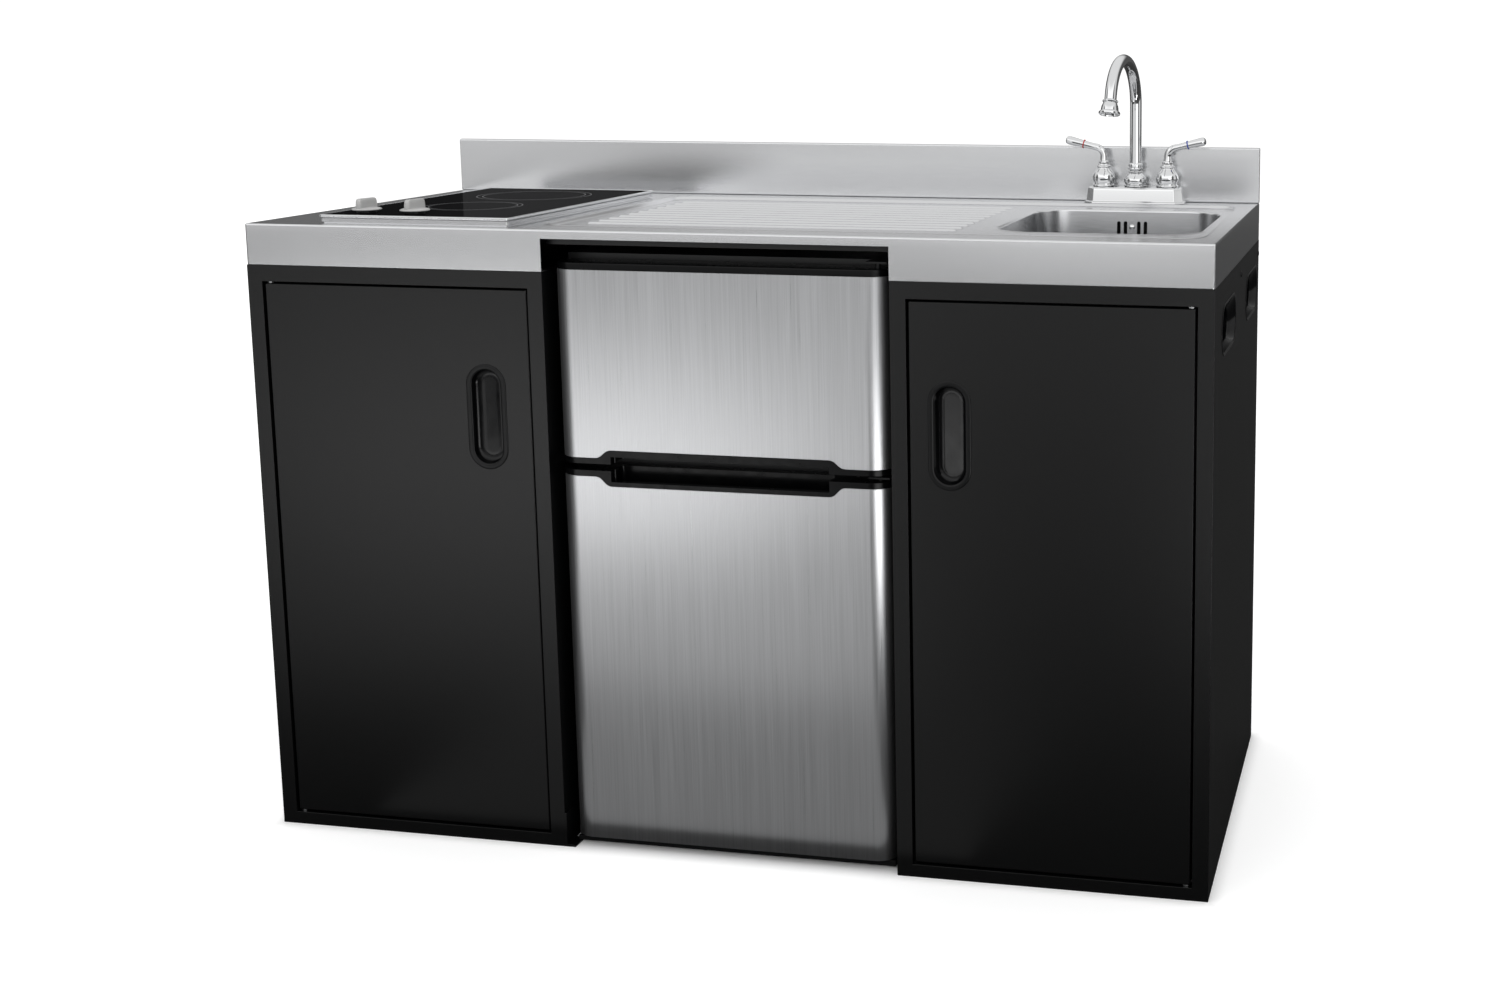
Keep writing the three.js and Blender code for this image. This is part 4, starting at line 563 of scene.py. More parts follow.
worktop_sheet = rough(
    together(
        skin(fold_rings, open_ends),
        top_plate,
        pressed(recess_edge, bead, tray_top),
        drainer_floor,
        *rib_crests,
        pressed(basin_edge, roll, recess_floor, 12),
        apron,
        ribbon(lip_lines),
    )
)
tidy(worktop_sheet)
alter(worktop_sheet, "SOLIDIFY", thickness=top_sheet * mm, offset=-1)
settle(worktop_sheet)
tidy(worktop_sheet, crease=40)
fit("worktop_pressing", worktop_sheet, satin_steel, "unit", "worktop")

# Backsplash, a steel strip folded to a shallow box that closes the joint to the wall.
# It stands on the worktop's rear edge; its folds are soft and its ends are closed.
low, high = reach("backsplash")
rings = []
for from_end, inset in ((0, 1.2), (0.35, 0.35), (1.2, 0)):
    outline = rounded(low.y + inset, high.y - inset, low.z + inset, high.z - inset, 2.6 - inset, 4)
    for place in (low.x + from_end, high.x - from_end):
        rings.append(station(place, outline, "x"))
rings.sort(key=lambda ring: ring[0].x)
fit("backsplash_strip", skin(rings), satin_steel, "unit", "backsplash")

# Sink bowl, deep-drawn from the same steel and welded in under the worktop's rolled edge.
# Four upright slots and a screw in its rear wall form the overflow.
bowl_floor = basin_low.z + top_sheet
bowl_top = recess_floor - 2.4
bowl_wall = 1.2
bowl_draft = 9
bowl_fillet = 24


def bowl_rings(thickness):
    """Rings of one side of the bowl's wall, from its rim down to its flat floor."""
    rings = []
    for share in (0, 0.04, 0.5):
        height = bowl_top + share * (bowl_floor + bowl_fillet - bowl_top)
        rings.append(station(height, grown(basin_edge, thickness - share * bowl_draft, 12)))
    for step in range(9):
        turn = radians(90 * step / 8)
        inward = bowl_draft + bowl_fillet * (1 - cos(turn))
        height = bowl_floor - thickness + bowl_fillet * (1 - sin(turn))
        rings.append(station(height, grown(basin_edge, thickness - inward, 12)))
    return rings


def block(outline, start, end, axis="z"):
    """A straight block or cutter with one outline from start to end along an axis."""
    return rough(skin([station(place, outline, axis) for place in (start, end)]))


basin_x, basin_y = middle("sink_bowl")[:2]
basin_back = basin_edge[3]
drain_hole = circle(basin_x, basin_y, 27)
inner_wall, outer_wall = bowl_rings(0), bowl_rings(bowl_wall)
drain_edge = [station(bowl_floor - drop, drain_hole) for drop in (0, bowl_wall)]
bowl = rough(
    together(
        skin(inner_wall, open_ends),
        skin(outer_wall, open_ends),
        skin([inner_wall[0], outer_wall[0]], open_ends),
        flat(bowl_floor, [point[:2] for point in inner_wall[-1]], drain_hole),
        flat(bowl_floor - bowl_wall, [point[:2] for point in outer_wall[-1]], drain_hole),
        skin(drain_edge, open_ends),
    )
)
tidy(bowl)
slot_height = recess_floor - 27
slots = []
for place in (-2, -1, 1, 2):
    outline = stadium(basin_x + 10.4 * place, slot_height, 5.6, 20.5, 6)
    slots.append(block(outline, basin_back - 14, basin_back + 6, "y"))
carve(bowl, slots)
tidy(bowl)

# The bowl's steel is the worktop's steel made darker in colour: painted shade for the shade and
# dark reflections inside the deep bowl.
painted_shade_basin_steel = Finish("painted_shade_basin_steel", "stainless", (0.5, 0.505, 0.515), 0.2, 1)
drawn_marks = painted_shade_basin_steel.grain(700, (0.05, 0.05, 1))
painted_shade_basin_steel.tint(0.96, 1.03, drawn_marks)
painted_shade_basin_steel.duller(drawn_marks * 0.04)
fit("sink_basin_bowl", bowl, painted_shade_basin_steel, "unit", "sink_bowl")

# Overflow screw, waste flange and lift-out strainer, turned and chrome-plated.
# The flange is clamped on the bowl's floor and the strainer rests loose in it.
chrome = Finish("chrome", "chrome", (0.72, 0.725, 0.73), 0.035, 1)
chrome.duller(chrome.grain(9) * 0.03)


def turned(profile, u=0, v=0, count=48, level=0):
    """A body turned about an upright axis; the profile lists (radius, height above level)."""
    thinnest = 0.02
    rings = []
    for radius, rise in profile:
        rings.append(station(level + rise, circle(u, v, max(radius, thinnest), count)))
    return skin(rings)


def laid(mesh, origin, axis):
    """Turns a mesh built about +Z so that +Z lies along axis, and moves it to origin."""
    points, faces = mesh
    spin = axis.to_track_quat("Z", "Y")
    return [origin + spin @ point for point in points], faces


screw_head = ((0, -1), (4.2, -1), (4.4, 0.4), (3.9, 1.4), (2.6, 2.2), (0, 2.6))
screw_place = Vector((basin_x, basin_back - 2.2, slot_height + 1.5))
screw = laid(turned(screw_head, count=24), screw_place, Vector((0, -1, 0.1)))
fit("overflow_screw", screw, chrome, "unit")

waste_low, waste_high = reach("drain_body")
waste_profile = (
    (25, 0), (38, 0), (40.8, -0.4), (42, -1.2), (26.2, -1.2), (26.2, -4.4), (37, -4.4), (37, -11),
    (32, -11.5), (32, -30), (22, -35), (19, -36),
    (19, waste_low.z - waste_high.z),
    (16.5, waste_low.z - waste_high.z),
    (16.5, -30), (22.4, -20), (23.2, -2), (23.8, -0.7), (25, 0),
)
waste = turned(waste_profile, basin_x, basin_y, level=waste_high.z)
fit("waste_flange", waste, chrome, "unit", "drain_body")

strainer_low, strainer_high = reach("drain_strainer")
strainer_profile = (
    (0, -16), (14, -16), (17.5, -14.5), (20, -10), (20, 0), (29.4, 0), (30, 0.7), (29.2, 1.4),
    (19.4, 1.4), (18.4, 0.6), (18.2, -9), (16, -13), (13.4, -14.2), (3.4, -14.2), (2.6, -13.4),
    (2.6, -3.4), (5, -1.4), (6.2, 0.6), (5.6, 2.8), (3.4, 3.8), (0, 4),
)
strainer = tidy(rough(turned(strainer_profile, basin_x, basin_y, level=strainer_high.z - 4)))
holes = []
for ring_radius, ring_count in ((6.8, 6), (11.6, 12)):
    for step in range(ring_count):
        turn = 2 * pi * step / ring_count
        centre = (basin_x + ring_radius * cos(turn), basin_y + ring_radius * sin(turn))
        outline = circle(*centre, 1.5, 12)
        holes.append(block(outline, strainer_low.z - 2, strainer_low.z + 4))
carve(strainer, holes)
tidy(strainer)
fit("strainer_basket", strainer, chrome, "drain_strainer", "drain_strainer")

# Waste trap of pale grey plastic pipe and an overflow duct below the bowl, the duct in black as
# painted shade behind the bowl's overflow slots.
# Both stay as modelled, and show only when the right door stands open.
pipe_grey = mottled("pipe_grey", "grey_plastic", (0.56, 0.57, 0.58), 0.4, (0.95, 1.03), 40)
dress(pipe_grey, "waste_trap")
# Black on the overflow duct is painted shade, seen through the overflow slots in the bowl.
dress(satin_black, "overflow_pipe")

# Tap deck plate and its three bells, cast brass with a mirror chrome plate.
# The plate is an octagon with a thin lip at its foot; each bell swells above a foot bead,
# draws in at the shoulder and carries a ring bead below its neck.
tap_low, tap_high = reach("tap_base")
tap_x, tap_y = middle("tap_base")[:2]


def deck_outline(grow):
    """The deck's octagon, set out by grow."""
    half_x = (tap_high.x - tap_low.x) / 2 + grow
    half_y = (tap_high.y - tap_low.y) / 2 + grow
    corner = 14 + 0.6 * grow
    half = [(half_x, corner - half_y), (half_x, half_y - corner)]
    half += [(half_x - corner, half_y), (corner - half_x, half_y)]
    return [(tap_x + way * u, tap_y + way * v) for way in (1, -1) for u, v in half]


deck_profile = (
    (0, 0), (0, 2), (-0.5, 2.8), (-1.4, 3.2), (-2.6, 3.8), (-3, 5), (-4.9, 21), (-5.6, 23.6),
    (-7, 25.3), (-9, 26),
)
deck = skin([station(tap_low.z + rise, deck_outline(grow)) for grow, rise in deck_profile])
fit("tap_deck_plate", tidy(rough(deck), edge=0.8, segments=3), chrome, "unit", "tap_base")

bell_profile = (
    (16.6, 0), (17.8, 0.03), (18, 0.06), (17.4, 0.095), (15.9, 0.115), (15.6, 0.13), (16.6, 0.19),
    (17.8, 0.29), (18.1, 0.38), (17.7, 0.47), (16.2, 0.57), (13.8, 0.66), (11.3, 0.74), (9.9, 0.8),
    (9.7, 0.83), (11.2, 0.85), (11.8, 0.885), (11.2, 0.92), (9.6, 0.94), (8.6, 1),
)
for name in ("hot_bell", "cold_bell", "spout_bell"):
    low, high = reach(name)
    outline = [(radius, low.z + share * (high.z - low.z)) for radius, share in bell_profile]
    fit(f"tap_{name}", turned(outline, middle(name).x, tap_y, 56), chrome, "unit", name)
dress(zinc, "hot_shank", "cold_shank")

# Gooseneck spout, a bent chrome tube with a ringed collar at its foot and a flared outlet.
# It swivels on the middle bell and stands turned a little to the left.
spout_turn = radians(7)
forward = Vector((-sin(spout_turn), -cos(spout_turn), 0))
sideways = Vector((cos(spout_turn), -sin(spout_turn), 0))
upright = Vector((0, 0, 1))
spout_foot, spout_peak = reach("spout")[0].z, reach("spout")[1].z
tube_radius = 9.3
arch_radius = 70
arch_sweep = 167
arch_height = spout_peak - tube_radius - arch_radius
spout_middle = Vector((tap_x, tap_y, 0))


def swept(sections, side, count=32):
    """A skin of ellipses on a flat path; a section is (point, half width, half height)."""
    rings = []
    for i, (point, across, thick) in enumerate(sections):
        before, after = sections[max(i - 1, 0)][0], sections[min(i + 1, len(sections) - 1)][0]
        up = side.cross((after - before).normalized())
        ring = circle(0, 0, 1, count)
        rings.append([point + side * (u * across) + up * (v * thick) for u, v in ring])
    return skin(rings)


spout_path = [spout_middle + upright * height for height in (spout_foot + 6, arch_height - 4)]
for step in range(49):
    turn = radians(180 - arch_sweep * step / 48)
    ahead = arch_radius * (1 + cos(turn))
    rise = arch_height + arch_radius * sin(turn)
    spout_path.append(spout_middle + forward * ahead + upright * rise)
falling = (spout_path[-1] - spout_path[-2]).normalized()
spout_path.append(spout_path[-1] + falling * 5)
gooseneck = swept([(point, tube_radius, tube_radius) for point in spout_path], sideways)
collar_profile = (
    (9, 0), (11.4, 0.3), (11.9, 1.6), (11.4, 3), (10.2, 3.8), (10.2, 5), (11.2, 6), (11.2, 8),
    (10.4, 9.2), (9.2, 10.4),
)
collar = turned(collar_profile, tap_x, tap_y, level=spout_foot)
fit("gooseneck", together(gooseneck, collar), chrome, "spout", "spout")

outlet_profile = (
    (9.4, -0.6), (10.6, 0.2), (11.9, 1), (12.1, 2.2), (11.2, 3.4), (10.6, 4.6), (11.4, 6.6),
    (12.6, 9.4), (13.3, 13), (13.6, 16.6), (15.2, 17.6), (16.2, 18.6), (16.5, 20.2), (16.2, 21.8),
    (15.2, 22.6), (12.4, 22.8), (12, 20), (11.6, 17.4), (0, 17),
)
outlet = laid(turned(outlet_profile), spout_path[-1] - falling * 0.6, falling)
fit("spout_outlet", outlet, chrome, "spout", "spout_aerator")

# Lever handles, chrome castings that rise from the side bells, bend outwards and swell to
# round tips. A red and a blue ring inlaid near the tips mark hot and cold.
lever_tilt = radians(13)
stem_height = 11
bend = 15
# share of the way to the tip, half the width, half the height
lever_sections = (
    (0.1, 5.2, 5), (0.25, 5.5, 5.2), (0.45, 6.4, 5.7), (0.62, 7.5, 6.2), (0.76, 8.3, 6.6),
    (0.87, 8.6, 6.8), (0.94, 8.1, 6.3), (0.98, 6.6, 5.2), (1, 3.8, 3),
)
foot_ring_profile = ((6, -0.2), (8, 0.2), (8.5, 1.6), (8.1, 3.2), (6.8, 4.2), (5.8, 5.4))
ring_profile = ((5, -1), (6.9, -0.9), (7.1, 0), (6.9, 0.9), (5, 1))
ring_share = 0.42
for side, away, mark_name, mark_colour in (
    ("hot", -1, "mark_red", (0.55, 0.02, 0.02)),
    ("cold", 1, "mark_blue", (0.02, 0.06, 0.4)),
):
    node = f"{side}_lever"
    low, high = reach(node)
    stem = Vector((middle(f"{side}_bell").x, tap_y, low.z))
    outwards = Vector((away, 0, 0))
    tip_reach = abs((high.x if away > 0 else low.x) - stem.x)
    stem_sections = ((0, 7), (5, 6.2), (stem_height, 5.6))
    sections = [(stem + upright * rise, radius, radius) for rise, radius in stem_sections]
    for step in range(1, 9):
        turn = step / 8 * (pi / 2 - lever_tilt)
        rise = stem_height + bend * sin(turn)
        point = stem + outwards * (bend * (1 - cos(turn))) + upright * rise
        sections.append((point, 5.6, 5.5))
    start = sections[-1][0]
    run = tip_reach - abs(start.x - stem.x)
    climb = Vector((away, 0, tan(lever_tilt)))
    for share, across, thick in lever_sections:
        sections.append((start + climb * (run * share), across, thick))
    arm = swept(sections, Vector((0, 1, 0)))
    foot_ring = turned(foot_ring_profile, stem.x, stem.y, level=low.z)
    fit(f"{side}_tap_lever", together(arm, foot_ring), chrome, node, node)
    mark = mottled(mark_name, "chrome", mark_colour, 0.3, (0.9, 1.05), 80)
    ring = laid(turned(ring_profile, count=32), start + climb * (run * ring_share), climb)
    fit(f"{side}_mark", ring, mark, node)

# Hob frame, folded and welded from stainless strip: a low wall on the worktop, a narrow
# groove round it and a thin rim just proud of the glass, which lies on the inner ledge.
frame_profile = (
    (-6, 0), (-6, 2), (-2.6, 2.2), (-2.2, 2.7), (-2.2, 7.2), (-2.7, 7.6), (-6.6, 7.7), (-6.6, 8.7),
    (-0.6, 8.8), (-0.1, 9.2), (0, 9.8), (0, 11.7), (-0.3, 12.2), (-0.9, 12.5), (-2.8, 12.5),
    (-3.3, 12.3), (-3.5, 11.8), (-3.5, 8.2), (-12.4, 8.2), (-12.4, 7.5), (-8.4, 7.3), (-8.4, 0),
)
hob_edge = edge_of(hob_low, hob_high, 0, 6)
frame_skin = pressed(hob_edge, frame_profile, hob_low.z, 4, around=True)
fit("hob_steel_frame", frame_skin, satin_steel, "unit", "hob_frame")

# Hob glass, 4 mm black glass ceramic with a ground edge and two printed cooking zones.
# The prints are pale grey double rings, baked into the glass and a little duller than it.
glass_low, glass_high = reach("hob_glass")
glass_edge = edge_of(glass_low, glass_high, 0, 3)
glass_profile = ((-0.6, -3.5), (0, -2.9), (0, -0.6), (-0.2, -0.2), (-0.6, 0))
glass_skin = pressed(glass_edge, glass_profile, glass_high.z, 4, caps=(True, True))
glass_pane = tidy(rough(glass_skin))
knob_places = [middle(f"{side}_knob") for side in ("left", "right")]
holes = []
for place in knob_places:
    outline = circle(place.x, place.y, 14.3, 40)
    holes.append(block(outline, glass_low.z - 2, glass_low.z + 8))
carve(glass_pane, holes)
tidy(glass_pane)

coat = {"Coat_Weight": 0.06, "Coat_Roughness": 0.04}
black_glass = Finish("black_glass", "black_glass", (0.004, 0.004, 0.0045), 0.045, IOR=1, **coat)
zone_x = hob_low.x + 144
zone_lines = []
for zone_y, radii in ((hob_low.y + 171, (63, 70)), (hob_low.y + 362, (78, 87))):
    centre = foot + Vector((zone_x, zone_y, glass_high.z)) * mm
    apart = black_glass.add(
        "ShaderNodeVectorMath", {"operation": "DISTANCE"}, {0: black_glass.place, 1: centre}
    )
    apart = Value(black_glass, apart.outputs["Value"])
    for radius in radii:
        off_line = (apart - radius * mm).math("ABSOLUTE")
        zone_lines.append(1 - off_line.between(0.0004, 0.0011))
zone_prints = sum(zone_lines[1:], zone_lines[0])
print_grey = (0.16, 0.16, 0.165, 1)
black_glass.set("Base Color", black_glass.blend(black_glass.colour, print_grey, zone_prints))
black_glass.duller(zone_prints * 0.25)
fit("hob_glass_pane", glass_pane, black_glass, "unit", "hob_glass")

enamel = Finish("enamel", "black_enamel", (0.008, 0.008, 0.009), 0.26)
enamel.duller(enamel.grain(50) * 0.08)
board_colour = (0.48, 0.42, 0.33)
heater_board = mottled("heater_board", "heater_board", board_colour, 0.9, (0.85, 1.05), 90)
dress(enamel, "hob_body", "compressor")
dress(heater_board, "radiant_heaters")
dress(satin_black, "hob_regulators")

# Hob knobs, white moulded plastic: a low round skirt with a raised bar grip across it.
# Each is pushed on its regulator's shaft and stands clear of the dark collar below.
knob_white = mottled("knob_white", "white_knob", (0.5, 0.5, 0.495), 0.3, (0.97, 1.02), 30)
knob_lift = 3.7
knob_turn = Quaternion(upright, radians(-12))
skirt_profile = (
    (0, 0), (19.4, 0), (20.3, 0.4), (20.6, 1.2), (20.2, 2), (18.8, 2.8), (16, 3.6), (12, 4.3),
    (0, 4.8),
)
# width, length, height
grip_profile = (
    (10.6, 36.5, 1.6), (10.2, 36, 8), (9.4, 34.8, 13), (8.2, 33.2, 15.4), (6.2, 30.8, 16.5),
    (3, 27, 16.8),
)
grip_rings = []
for width, length, rise in grip_profile:
    outline = rounded(-width / 2, width / 2, -length / 2, length / 2, 0.42 * width, 6)
    grip_rings.append(station(rise, outline))
shaft = turned(((0, -19), (3, -19), (3, 1), (0, 1)), count=24)
points, faces = together(turned(skirt_profile), skin(grip_rings), shaft)
for side, place in zip(("left", "right"), knob_places):
    seat = Vector((place.x, place.y, glass_high.z + knob_lift))
    knob = ([seat + knob_turn @ point for point in points], faces)
    node = f"{side}_knob"
    fit(f"{side}_hob_knob", knob, knob_white, node, node)

# Refrigerator cabinet, steel outer wrap in satin black round a smooth white plastic lining.
# The lining shows when the doors stand open; shelf and crisper rest in it, and the doors
# hang on black hinges.
white_liner = mottled("white_liner", "white_liner", (0.8, 0.81, 0.81), 0.3, (0.98, 1.01), 25)
lining_wall, lining_back = 36, 38
machine_room_depth, machine_room_height = 393, 230

wrap = Finish("refrigerator_wrap", "white_liner", (0.012, 0.0125, 0.013), 0.35)
case_low, case_high = reach("fridge_cabinet")
lined_low = foot + Vector((case_low.x + lining_wall, case_low.y + 0.6, case_low.z)) * mm
lined_high = case_high - Vector((lining_wall, lining_back, lining_wall))
lined_high = foot + lined_high * mm
in_machine_room = wrap.along(1).math("GREATER_THAN", foot.y + machine_room_depth * mm)
in_machine_room = in_machine_room * wrap.along(2).math("LESS_THAN", machine_room_height * mm)
lined = 1 - in_machine_room
for axis in range(3):
    place = wrap.along(axis)
    lined = lined * place.math("GREATER_THAN", lined_low[axis])
    lined = lined * place.math("LESS_THAN", lined_high[axis])
wrap.set("Base Color", wrap.blend(wrap.colour, white_liner.colour, lined))
dress(wrap, "fridge_cabinet")
dress(white_liner, "thermostat_housing")
dress(knob_white, "thermostat_dial")
dress(satin_black, "fridge_base", "top_hinge", "middle_hinge", "bottom_hinge")

shelf_glass = mottled(
    "shelf_glass", "clear_glass", (0.75, 0.86, 0.83), 0.03, (0.98, 1), 12, Alpha=0.35
)
crisper_plastic = mottled(
    "crisper_plastic", "frosted_plastic", (0.72, 0.78, 0.82), 0.25, (0.97, 1.02), 20, Alpha=0.6
)
door_seal = mottled("door_seal", "grey_rubber", (0.05, 0.05, 0.052), 0.7, (0.9, 1.1), 60)
dress(shelf_glass, "fridge_shelf")
dress(crisper_plastic, "crisper")
dress(door_seal, "freezer_gasket", "fridge_gasket")

# Refrigerator doors, a brushed steel skin bent round both vertical edges over a foam core.
# Top and bottom meet moulded black caps on a stepped line; the inner face is a white
# moulding with a raised dike and door racks.
door_nose = 30
door_front = reach("freezer_door")[0].y
door_back = door_front + 48
door_left, door_right = case_low.x, case_high.x
handle_left, handle_right, slant = door_left + 68, door_right - 74, 13
lip_left, lip_right = handle_left + slant - 2, handle_right - slant + 2
freezer_top, fridge_foot = reach("freezer_door")[1].z, reach("fridge_door")[0].z
upper_foot, lower_head = reach("freezer_handle")[0].z, reach("fridge_handle")[1].z


def door_plan(inset=0):
    """The door in plan, flat between two vertical edges of the nose radius."""
    left, right, radius = door_left + inset, door_right - inset, door_nose - inset
    bend_y, steps = door_front + door_nose, 16
    left_bend = quarter(left + radius, bend_y, radius, 180, steps)
    right_bend = quarter(right - radius, bend_y, radius, 270, steps)
    return [(left, door_back), *left_bend, *right_bend, (right, door_back)]


def door_slab(*heights):
    return block(door_plan(), *sorted(heights))


def softened(corners, radius, steps=5):
    """A polygon with every corner rounded by an arc-like curve of the given reach."""
    points = []
    for i, corner in enumerate(corners):
        corner = Vector(corner)
        before = Vector(corners[i - 1]) - corner
        after = Vector(corners[(i + 1) % len(corners)]) - corner
        reach_by = min(radius, before.length / 2, after.length / 2)
        start = corner + before.normalized() * reach_by
        end = corner + after.normalized() * reach_by
        for step in range(steps + 1):
            to_go, done = 1 - step / steps, step / steps
            points.append(start * to_go**2 + corner * (2 * done * to_go) + end * done**2)
    return points


def beyond_step(side_z, middle_z, far_z):
    """The region above or below the stepped line between the steel and the handle cap."""
    beyond = 40
    left, right = door_left - beyond, door_right + beyond
    lean = slant / 2
    corners = [(left, side_z), (handle_left - lean, side_z), (handle_left + lean, middle_z)]
    corners += [(handle_right - lean, middle_z), (handle_right + lean, side_z)]
    corners += [(right, side_z), (right, far_z), (left, far_z)]
    return block(softened(corners, 6), door_front - beyond, door_back + beyond, "y")


def box_at(x_sides, y_sides, heights, radius, steps):
    """A cutter or a moulded block with rounded upright edges."""
    return block(rounded(*x_sides, *y_sides, radius, steps), *sorted(heights))


def scoop_at(grow, *heights):
    """The hollow behind a handle's lip, set out by grow."""
    y_sides = (door_front + 10.5 - grow, door_front + 36 + grow)
    return box_at((lip_left - grow, lip_right + grow), y_sides, heights, 6, 5)


door_steel = Finish("door_steel", "brushed_door", (0.5, 0.505, 0.515), 0.27, 1, Anisotropic=0.6)
fine_brush = door_steel.grain(1500, (1, 1, 0.006))
broad_brush = door_steel.grain(240, (1, 1, 0.012))
brush = fine_brush * 0.6 + broad_brush * 0.4
door_steel.tint(0.86, 1.08, brush)
door_steel.duller(brush * 0.08)
door_steel.relief(fine_brush, 0.000012, 0.4)

cap_black = Finish("cap_black", "black_plastic", (0.0015, 0.0016, 0.0018), 0.2, IOR=1.25)
cap_black.duller(cap_black.grain(70) * 0.08)

# For each door: the edge at its handle, the heights of the stepped line at the sides and
# in the middle, which way the door goes on from its edge, and its far end.
steel_top = 833
upper_door = (upper_foot, (upper_foot + 8, upper_foot + 19.5), 1)
lower_door = (lower_head, (lower_head - 8.5, lower_head - 22), -1)
scoop_start, cap_end = 1, 10
for door, far_end, (edge, steps, onwards) in (
    ("freezer_door", steel_top, upper_door),
    ("fridge_door", fridge_foot, lower_door),
):
    door_skin = door_slab(edge, far_end)
    cap_room = beyond_step(*steps, edge - cap_end * onwards)
    scoop_room = scoop_at(2.9, edge - scoop_start * onwards, steps[1] + 22.4 * onwards)
    carve(door_skin, [cap_room, scoop_room])
    tidy(door_skin, edge=0.9, segments=3)
    fit(f"{door}_skin", door_skin, door_steel, door, door)

top_cap_profile = (
    (steel_top - 0.2, 0.6), (freezer_top - 2.4, 0.6), (freezer_top - 0.7, 1.2), (freezer_top, 2.8),
)
top_cap_rings = [station(height, door_plan(inset)) for height, inset in top_cap_profile]
fit("freezer_door_top_cap", skin(top_cap_rings), cap_black, "freezer_door")

liner_margin = 14
dike_wall, dike_depth = 9, 32
rack_floor, rack_lip, lip_wall = 3, 34, 3


def liner(low, high, racks):
    """The white moulding inside a door: back plate, dike and racks with retaining lips."""
    x0, x1 = door_left + 50, door_right - 50
    plate_sides = (door_left + 5, door_right - 5)
    plate_heights = (low - liner_margin, high + liner_margin)
    body = box_at(plate_sides, (door_back - 3, door_back + 0.2), plate_heights, 1, 1)
    dike = box_at((x0, x1), (door_back - 1, door_back + dike_depth), (low, high), 5, 4)
    carve(body, [dike], "UNION")
    hollow_sides = (x0 + dike_wall, x1 - dike_wall)
    hollow_heights = (low + dike_wall, high - dike_wall)
    carve(body, [box_at(hollow_sides, (door_back + 0.8, door_back + 40), hollow_heights, 4, 4)])
    parts = []
    rack_parts = ((-0.5, rack_floor, 3), (dike_depth - lip_wall, rack_lip, 1.2))
    for rack in racks:
        for start, rise, radius in rack_parts:
            y_sides = (door_back + start, door_back + dike_depth)
            parts.append(box_at((x0 + 4, x1 - 4), y_sides, (rack, rack + rise), radius, 3))
    carve(body, parts, "UNION")
    return tidy(body, edge=0.8)


for door, low_edge, high_edge, racks in (
    ("freezer_door", 610, 800, (610,)),
    ("fridge_door", 80, 522, (80, 290)),
):
    fit(f"{door}_liner", liner(low_edge, high_edge, racks), white_liner, door, door)

# Handle caps, one black moulding along the foot of the upper door and one along the head
# of the lower door. Both step towards each other in the middle, where a scoop behind the
# lip takes the finger tips.
cap_gap = 0.3
for name, door, mouth_lip, (edge, steps, onwards) in (
    ("upper", "freezer", 9, upper_door),
    ("lower", "fridge", 6.5, lower_door),
):
    side_step, middle_step = (step - cap_gap * onwards for step in steps)
    cap = door_slab(edge, middle_step)
    carve(cap, [beyond_step(side_step, middle_step, edge - cap_end * onwards)], "INTERSECT")
    around = scoop_at(2.5, steps[1] - 3 * onwards, steps[1] + 22 * onwards)
    carve(cap, [around], "UNION")
    outer = edge - scoop_start * onwards
    mouth_heights = (outer, steps[1] - mouth_lip * onwards)
    mouth_depths = (door_front - 2, door_front + 11.5)
    mouth = box_at((lip_left, lip_right), mouth_depths, mouth_heights, 3, 4)
    carve(cap, [scoop_at(0, outer, steps[1] + 19.5 * onwards), mouth])
    tidy(cap, edge=1.4, segments=3)
    fit(f"{name}_handle_cap", cap, cap_black, f"{door}_door", f"{door}_handle")

# Side screws, black domed cross-head screws that hold the worktop to the cabinets.
# Two stand above the lifting recesses on each outer side.
side_screw_head = ((0, -0.6), (4.6, -0.6), (4.6, 0.3), (4, 1.1), (2.6, 1.7), (0, 2))
side_screw_height = 809
for side, outward, face in (("left", -1, 0), ("right", 1, top_high.x)):
    for end, place in (("front", 328), ("rear", 596)):
        seat = Vector((face, place, side_screw_height))
        screw = laid(turned(side_screw_head, count=24), seat, Vector((outward, 0, 0)))
        fit(f"{side}_{end}_side_screw", screw, satin_black, "unit")

# Studio: a plain pale floor that runs into a plain white surround, as in the photograph.
# What the unit mirrors is even and bright, with a dark strip low behind it, black flags at
# both sides in front, and soft cards of light laid on the floor before it.
black, white = (0, 0, 0, 1), (1, 1, 1, 1)
floor_half = 9
floor_mesh = bpy.data.meshes.new("floor")
square = ((-1, -1), (1, -1), (1, 1), (-1, 1))
corners = [(x * floor_half, y * floor_half, 0) for x, y in square]
floor_mesh.from_pydata(corners, [], [(0, 1, 2, 3)])
floor = placed("floor", floor_mesh)
floor_paper = Finish("floor_paper", "floor", (0.92, 0.92, 0.92), 0.9)
floor_dark = (0.03, 0.03, 0.03, 1)
looked_at = Value(floor_paper, floor_paper.add("ShaderNodeLightPath").outputs["Is Camera Ray"])
floor_paper.set("Base Color", floor_paper.blend(floor_dark, floor_paper.colour, looked_at))
floor_mesh.materials.append(floor_paper.material)
beside_unit = floor_paper.along(0).math("ABSOLUTE").between(0.67, 0.71)
before_unit = floor_paper.along(1).math("ABSOLUTE").between(0.29, 0.33)
shining = looked_at * beside_unit.math("MAXIMUM", before_unit)
floor_paper.set("Emission Color", floor_paper.blend(black, white, shining))
floor_paper.set("Emission Strength", 0.45)

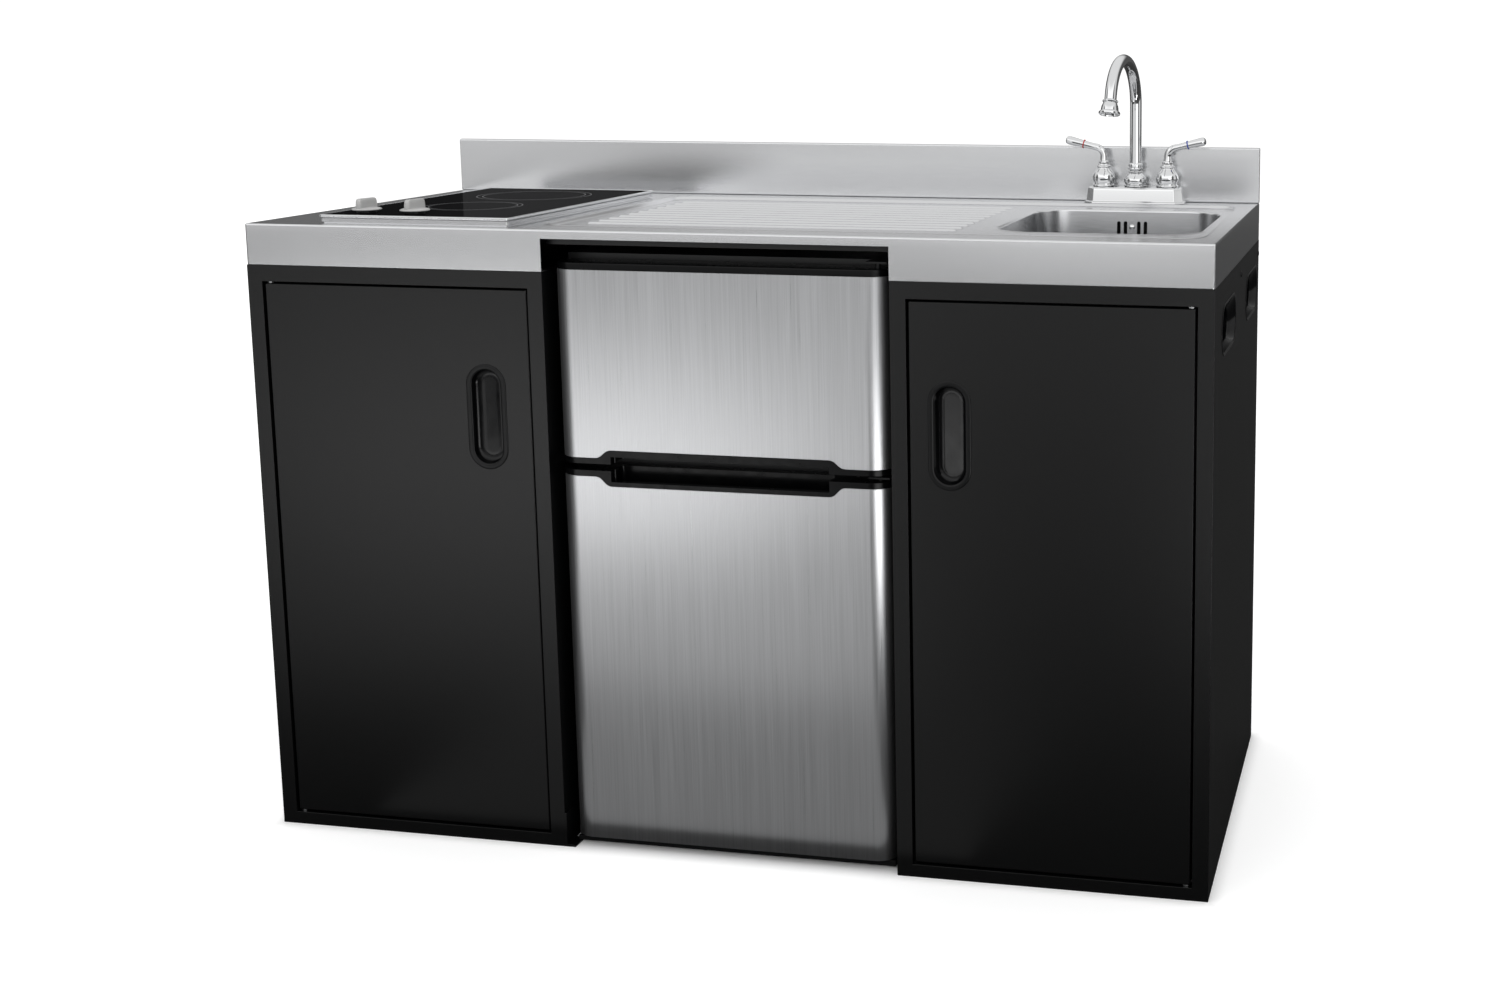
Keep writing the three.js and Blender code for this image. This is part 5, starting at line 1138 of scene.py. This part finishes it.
world = bpy.data.worlds.new("studio")
scene.world = world
world.use_nodes = True
studio = Nodes(world.node_tree)
direction = studio.add("ShaderNodeTexCoord").outputs["Generated"]
split = studio.add("ShaderNodeSeparateXYZ", None, {"Vector": direction})
rightwards, backwards, upwards = (Value(studio, split.outputs[axis]) for axis in range(3))
in_front = 1 - backwards.between(-0.35, 0.05)
near_horizon = 1 - upwards.between(0.05, 0.3)
far_above = upwards.between(0.5, 0.8)
above_camera = upwards.between(0.05, 0.3) * (1 - far_above)
to_one_side = rightwards.math("ABSOLUTE")
black_flags = in_front * to_one_side.between(0.74, 0.8) * (1 - far_above)
behind = backwards.between(0.1, 0.5) * (1 - upwards.between(0.3, 0.6))
back_panel = rightwards.between(-0.55, -0.32) * (1 - rightwards.between(-0.24, -0.06))
back_panel = back_panel * upwards.between(0.05, 0.09)
front_glow = above_camera * 0.55 + near_horizon * rightwards.between(0.2, 0.6) * 1.5
glow = (0.85 - behind * 0.75 + in_front * front_glow) * (1 - black_flags * 0.93)
glow = glow + far_above * 0.1 + behind * back_panel * 0.35
seen = Value(studio, studio.add("ShaderNodeLightPath").outputs["Is Camera Ray"])
glow = glow * (1 - seen) + seen * 1.1
surround = world.node_tree.nodes["Background"]
studio.feed(surround.inputs["Strength"], glow)
surround.inputs["Color"].default_value = white

# place and size in metres, power in watts
card_height = 0.02
for name, x, y, width, length, watts in (
    ("door_floor_card", -0.1, -0.63, 0.9, 0.6, 0.4),
    ("near_floor_card", -0.6, -1.3, 1.4, 0.8, 2),
    ("left_floor_card", -1.3, -2.3, 1.6, 1, 14),
    ("far_floor_card", -2.2, -3.6, 2.4, 1.4, 19),
    ("horizon_card", -0.7, -7.4, 1.8, 1.8, 22),
    ("right_floor_card", 1.4, -2.2, 1.2, 1.8, 38),
):
    lamp = bpy.data.lights.new(name, "AREA")
    lamp.shape = "RECTANGLE"
    lamp.size, lamp.size_y = width, length
    lamp.energy = watts
    box = placed(name, lamp)
    box.location = (x, y, card_height)
    box.rotation_mode = "QUATERNION"
    box.rotation_quaternion = upright.to_track_quat("-Z", "Y")
    box.visible_camera = False

# Camera, at the photograph's place and lens: from the front right, a little above the tap.
# Its shift moves the frame as the photograph's does.
camera_data = bpy.data.cameras.new("camera")
camera = placed("camera", camera_data)
bpy.context.scene.camera = camera
photo_width, focal_pixels = 1500, 1836
camera_data.lens = focal_pixels / photo_width * camera_data.sensor_width
camera_data.shift_x, camera_data.shift_y = -0.22, -0.12
camera.location = foot + Vector((1632, -2310, 1143)) * mm
yaw, pitch, roll = radians(10.68), radians(-8.65), radians(0.06)
looking = Vector((-sin(yaw), cos(yaw), tan(pitch)))
camera.rotation_mode = "QUATERNION"
camera.rotation_quaternion = looking.to_track_quat("-Z", "Y") @ Quaternion(upright, roll)

scene.view_settings.view_transform = "Standard"
scene.view_settings.look = "None"
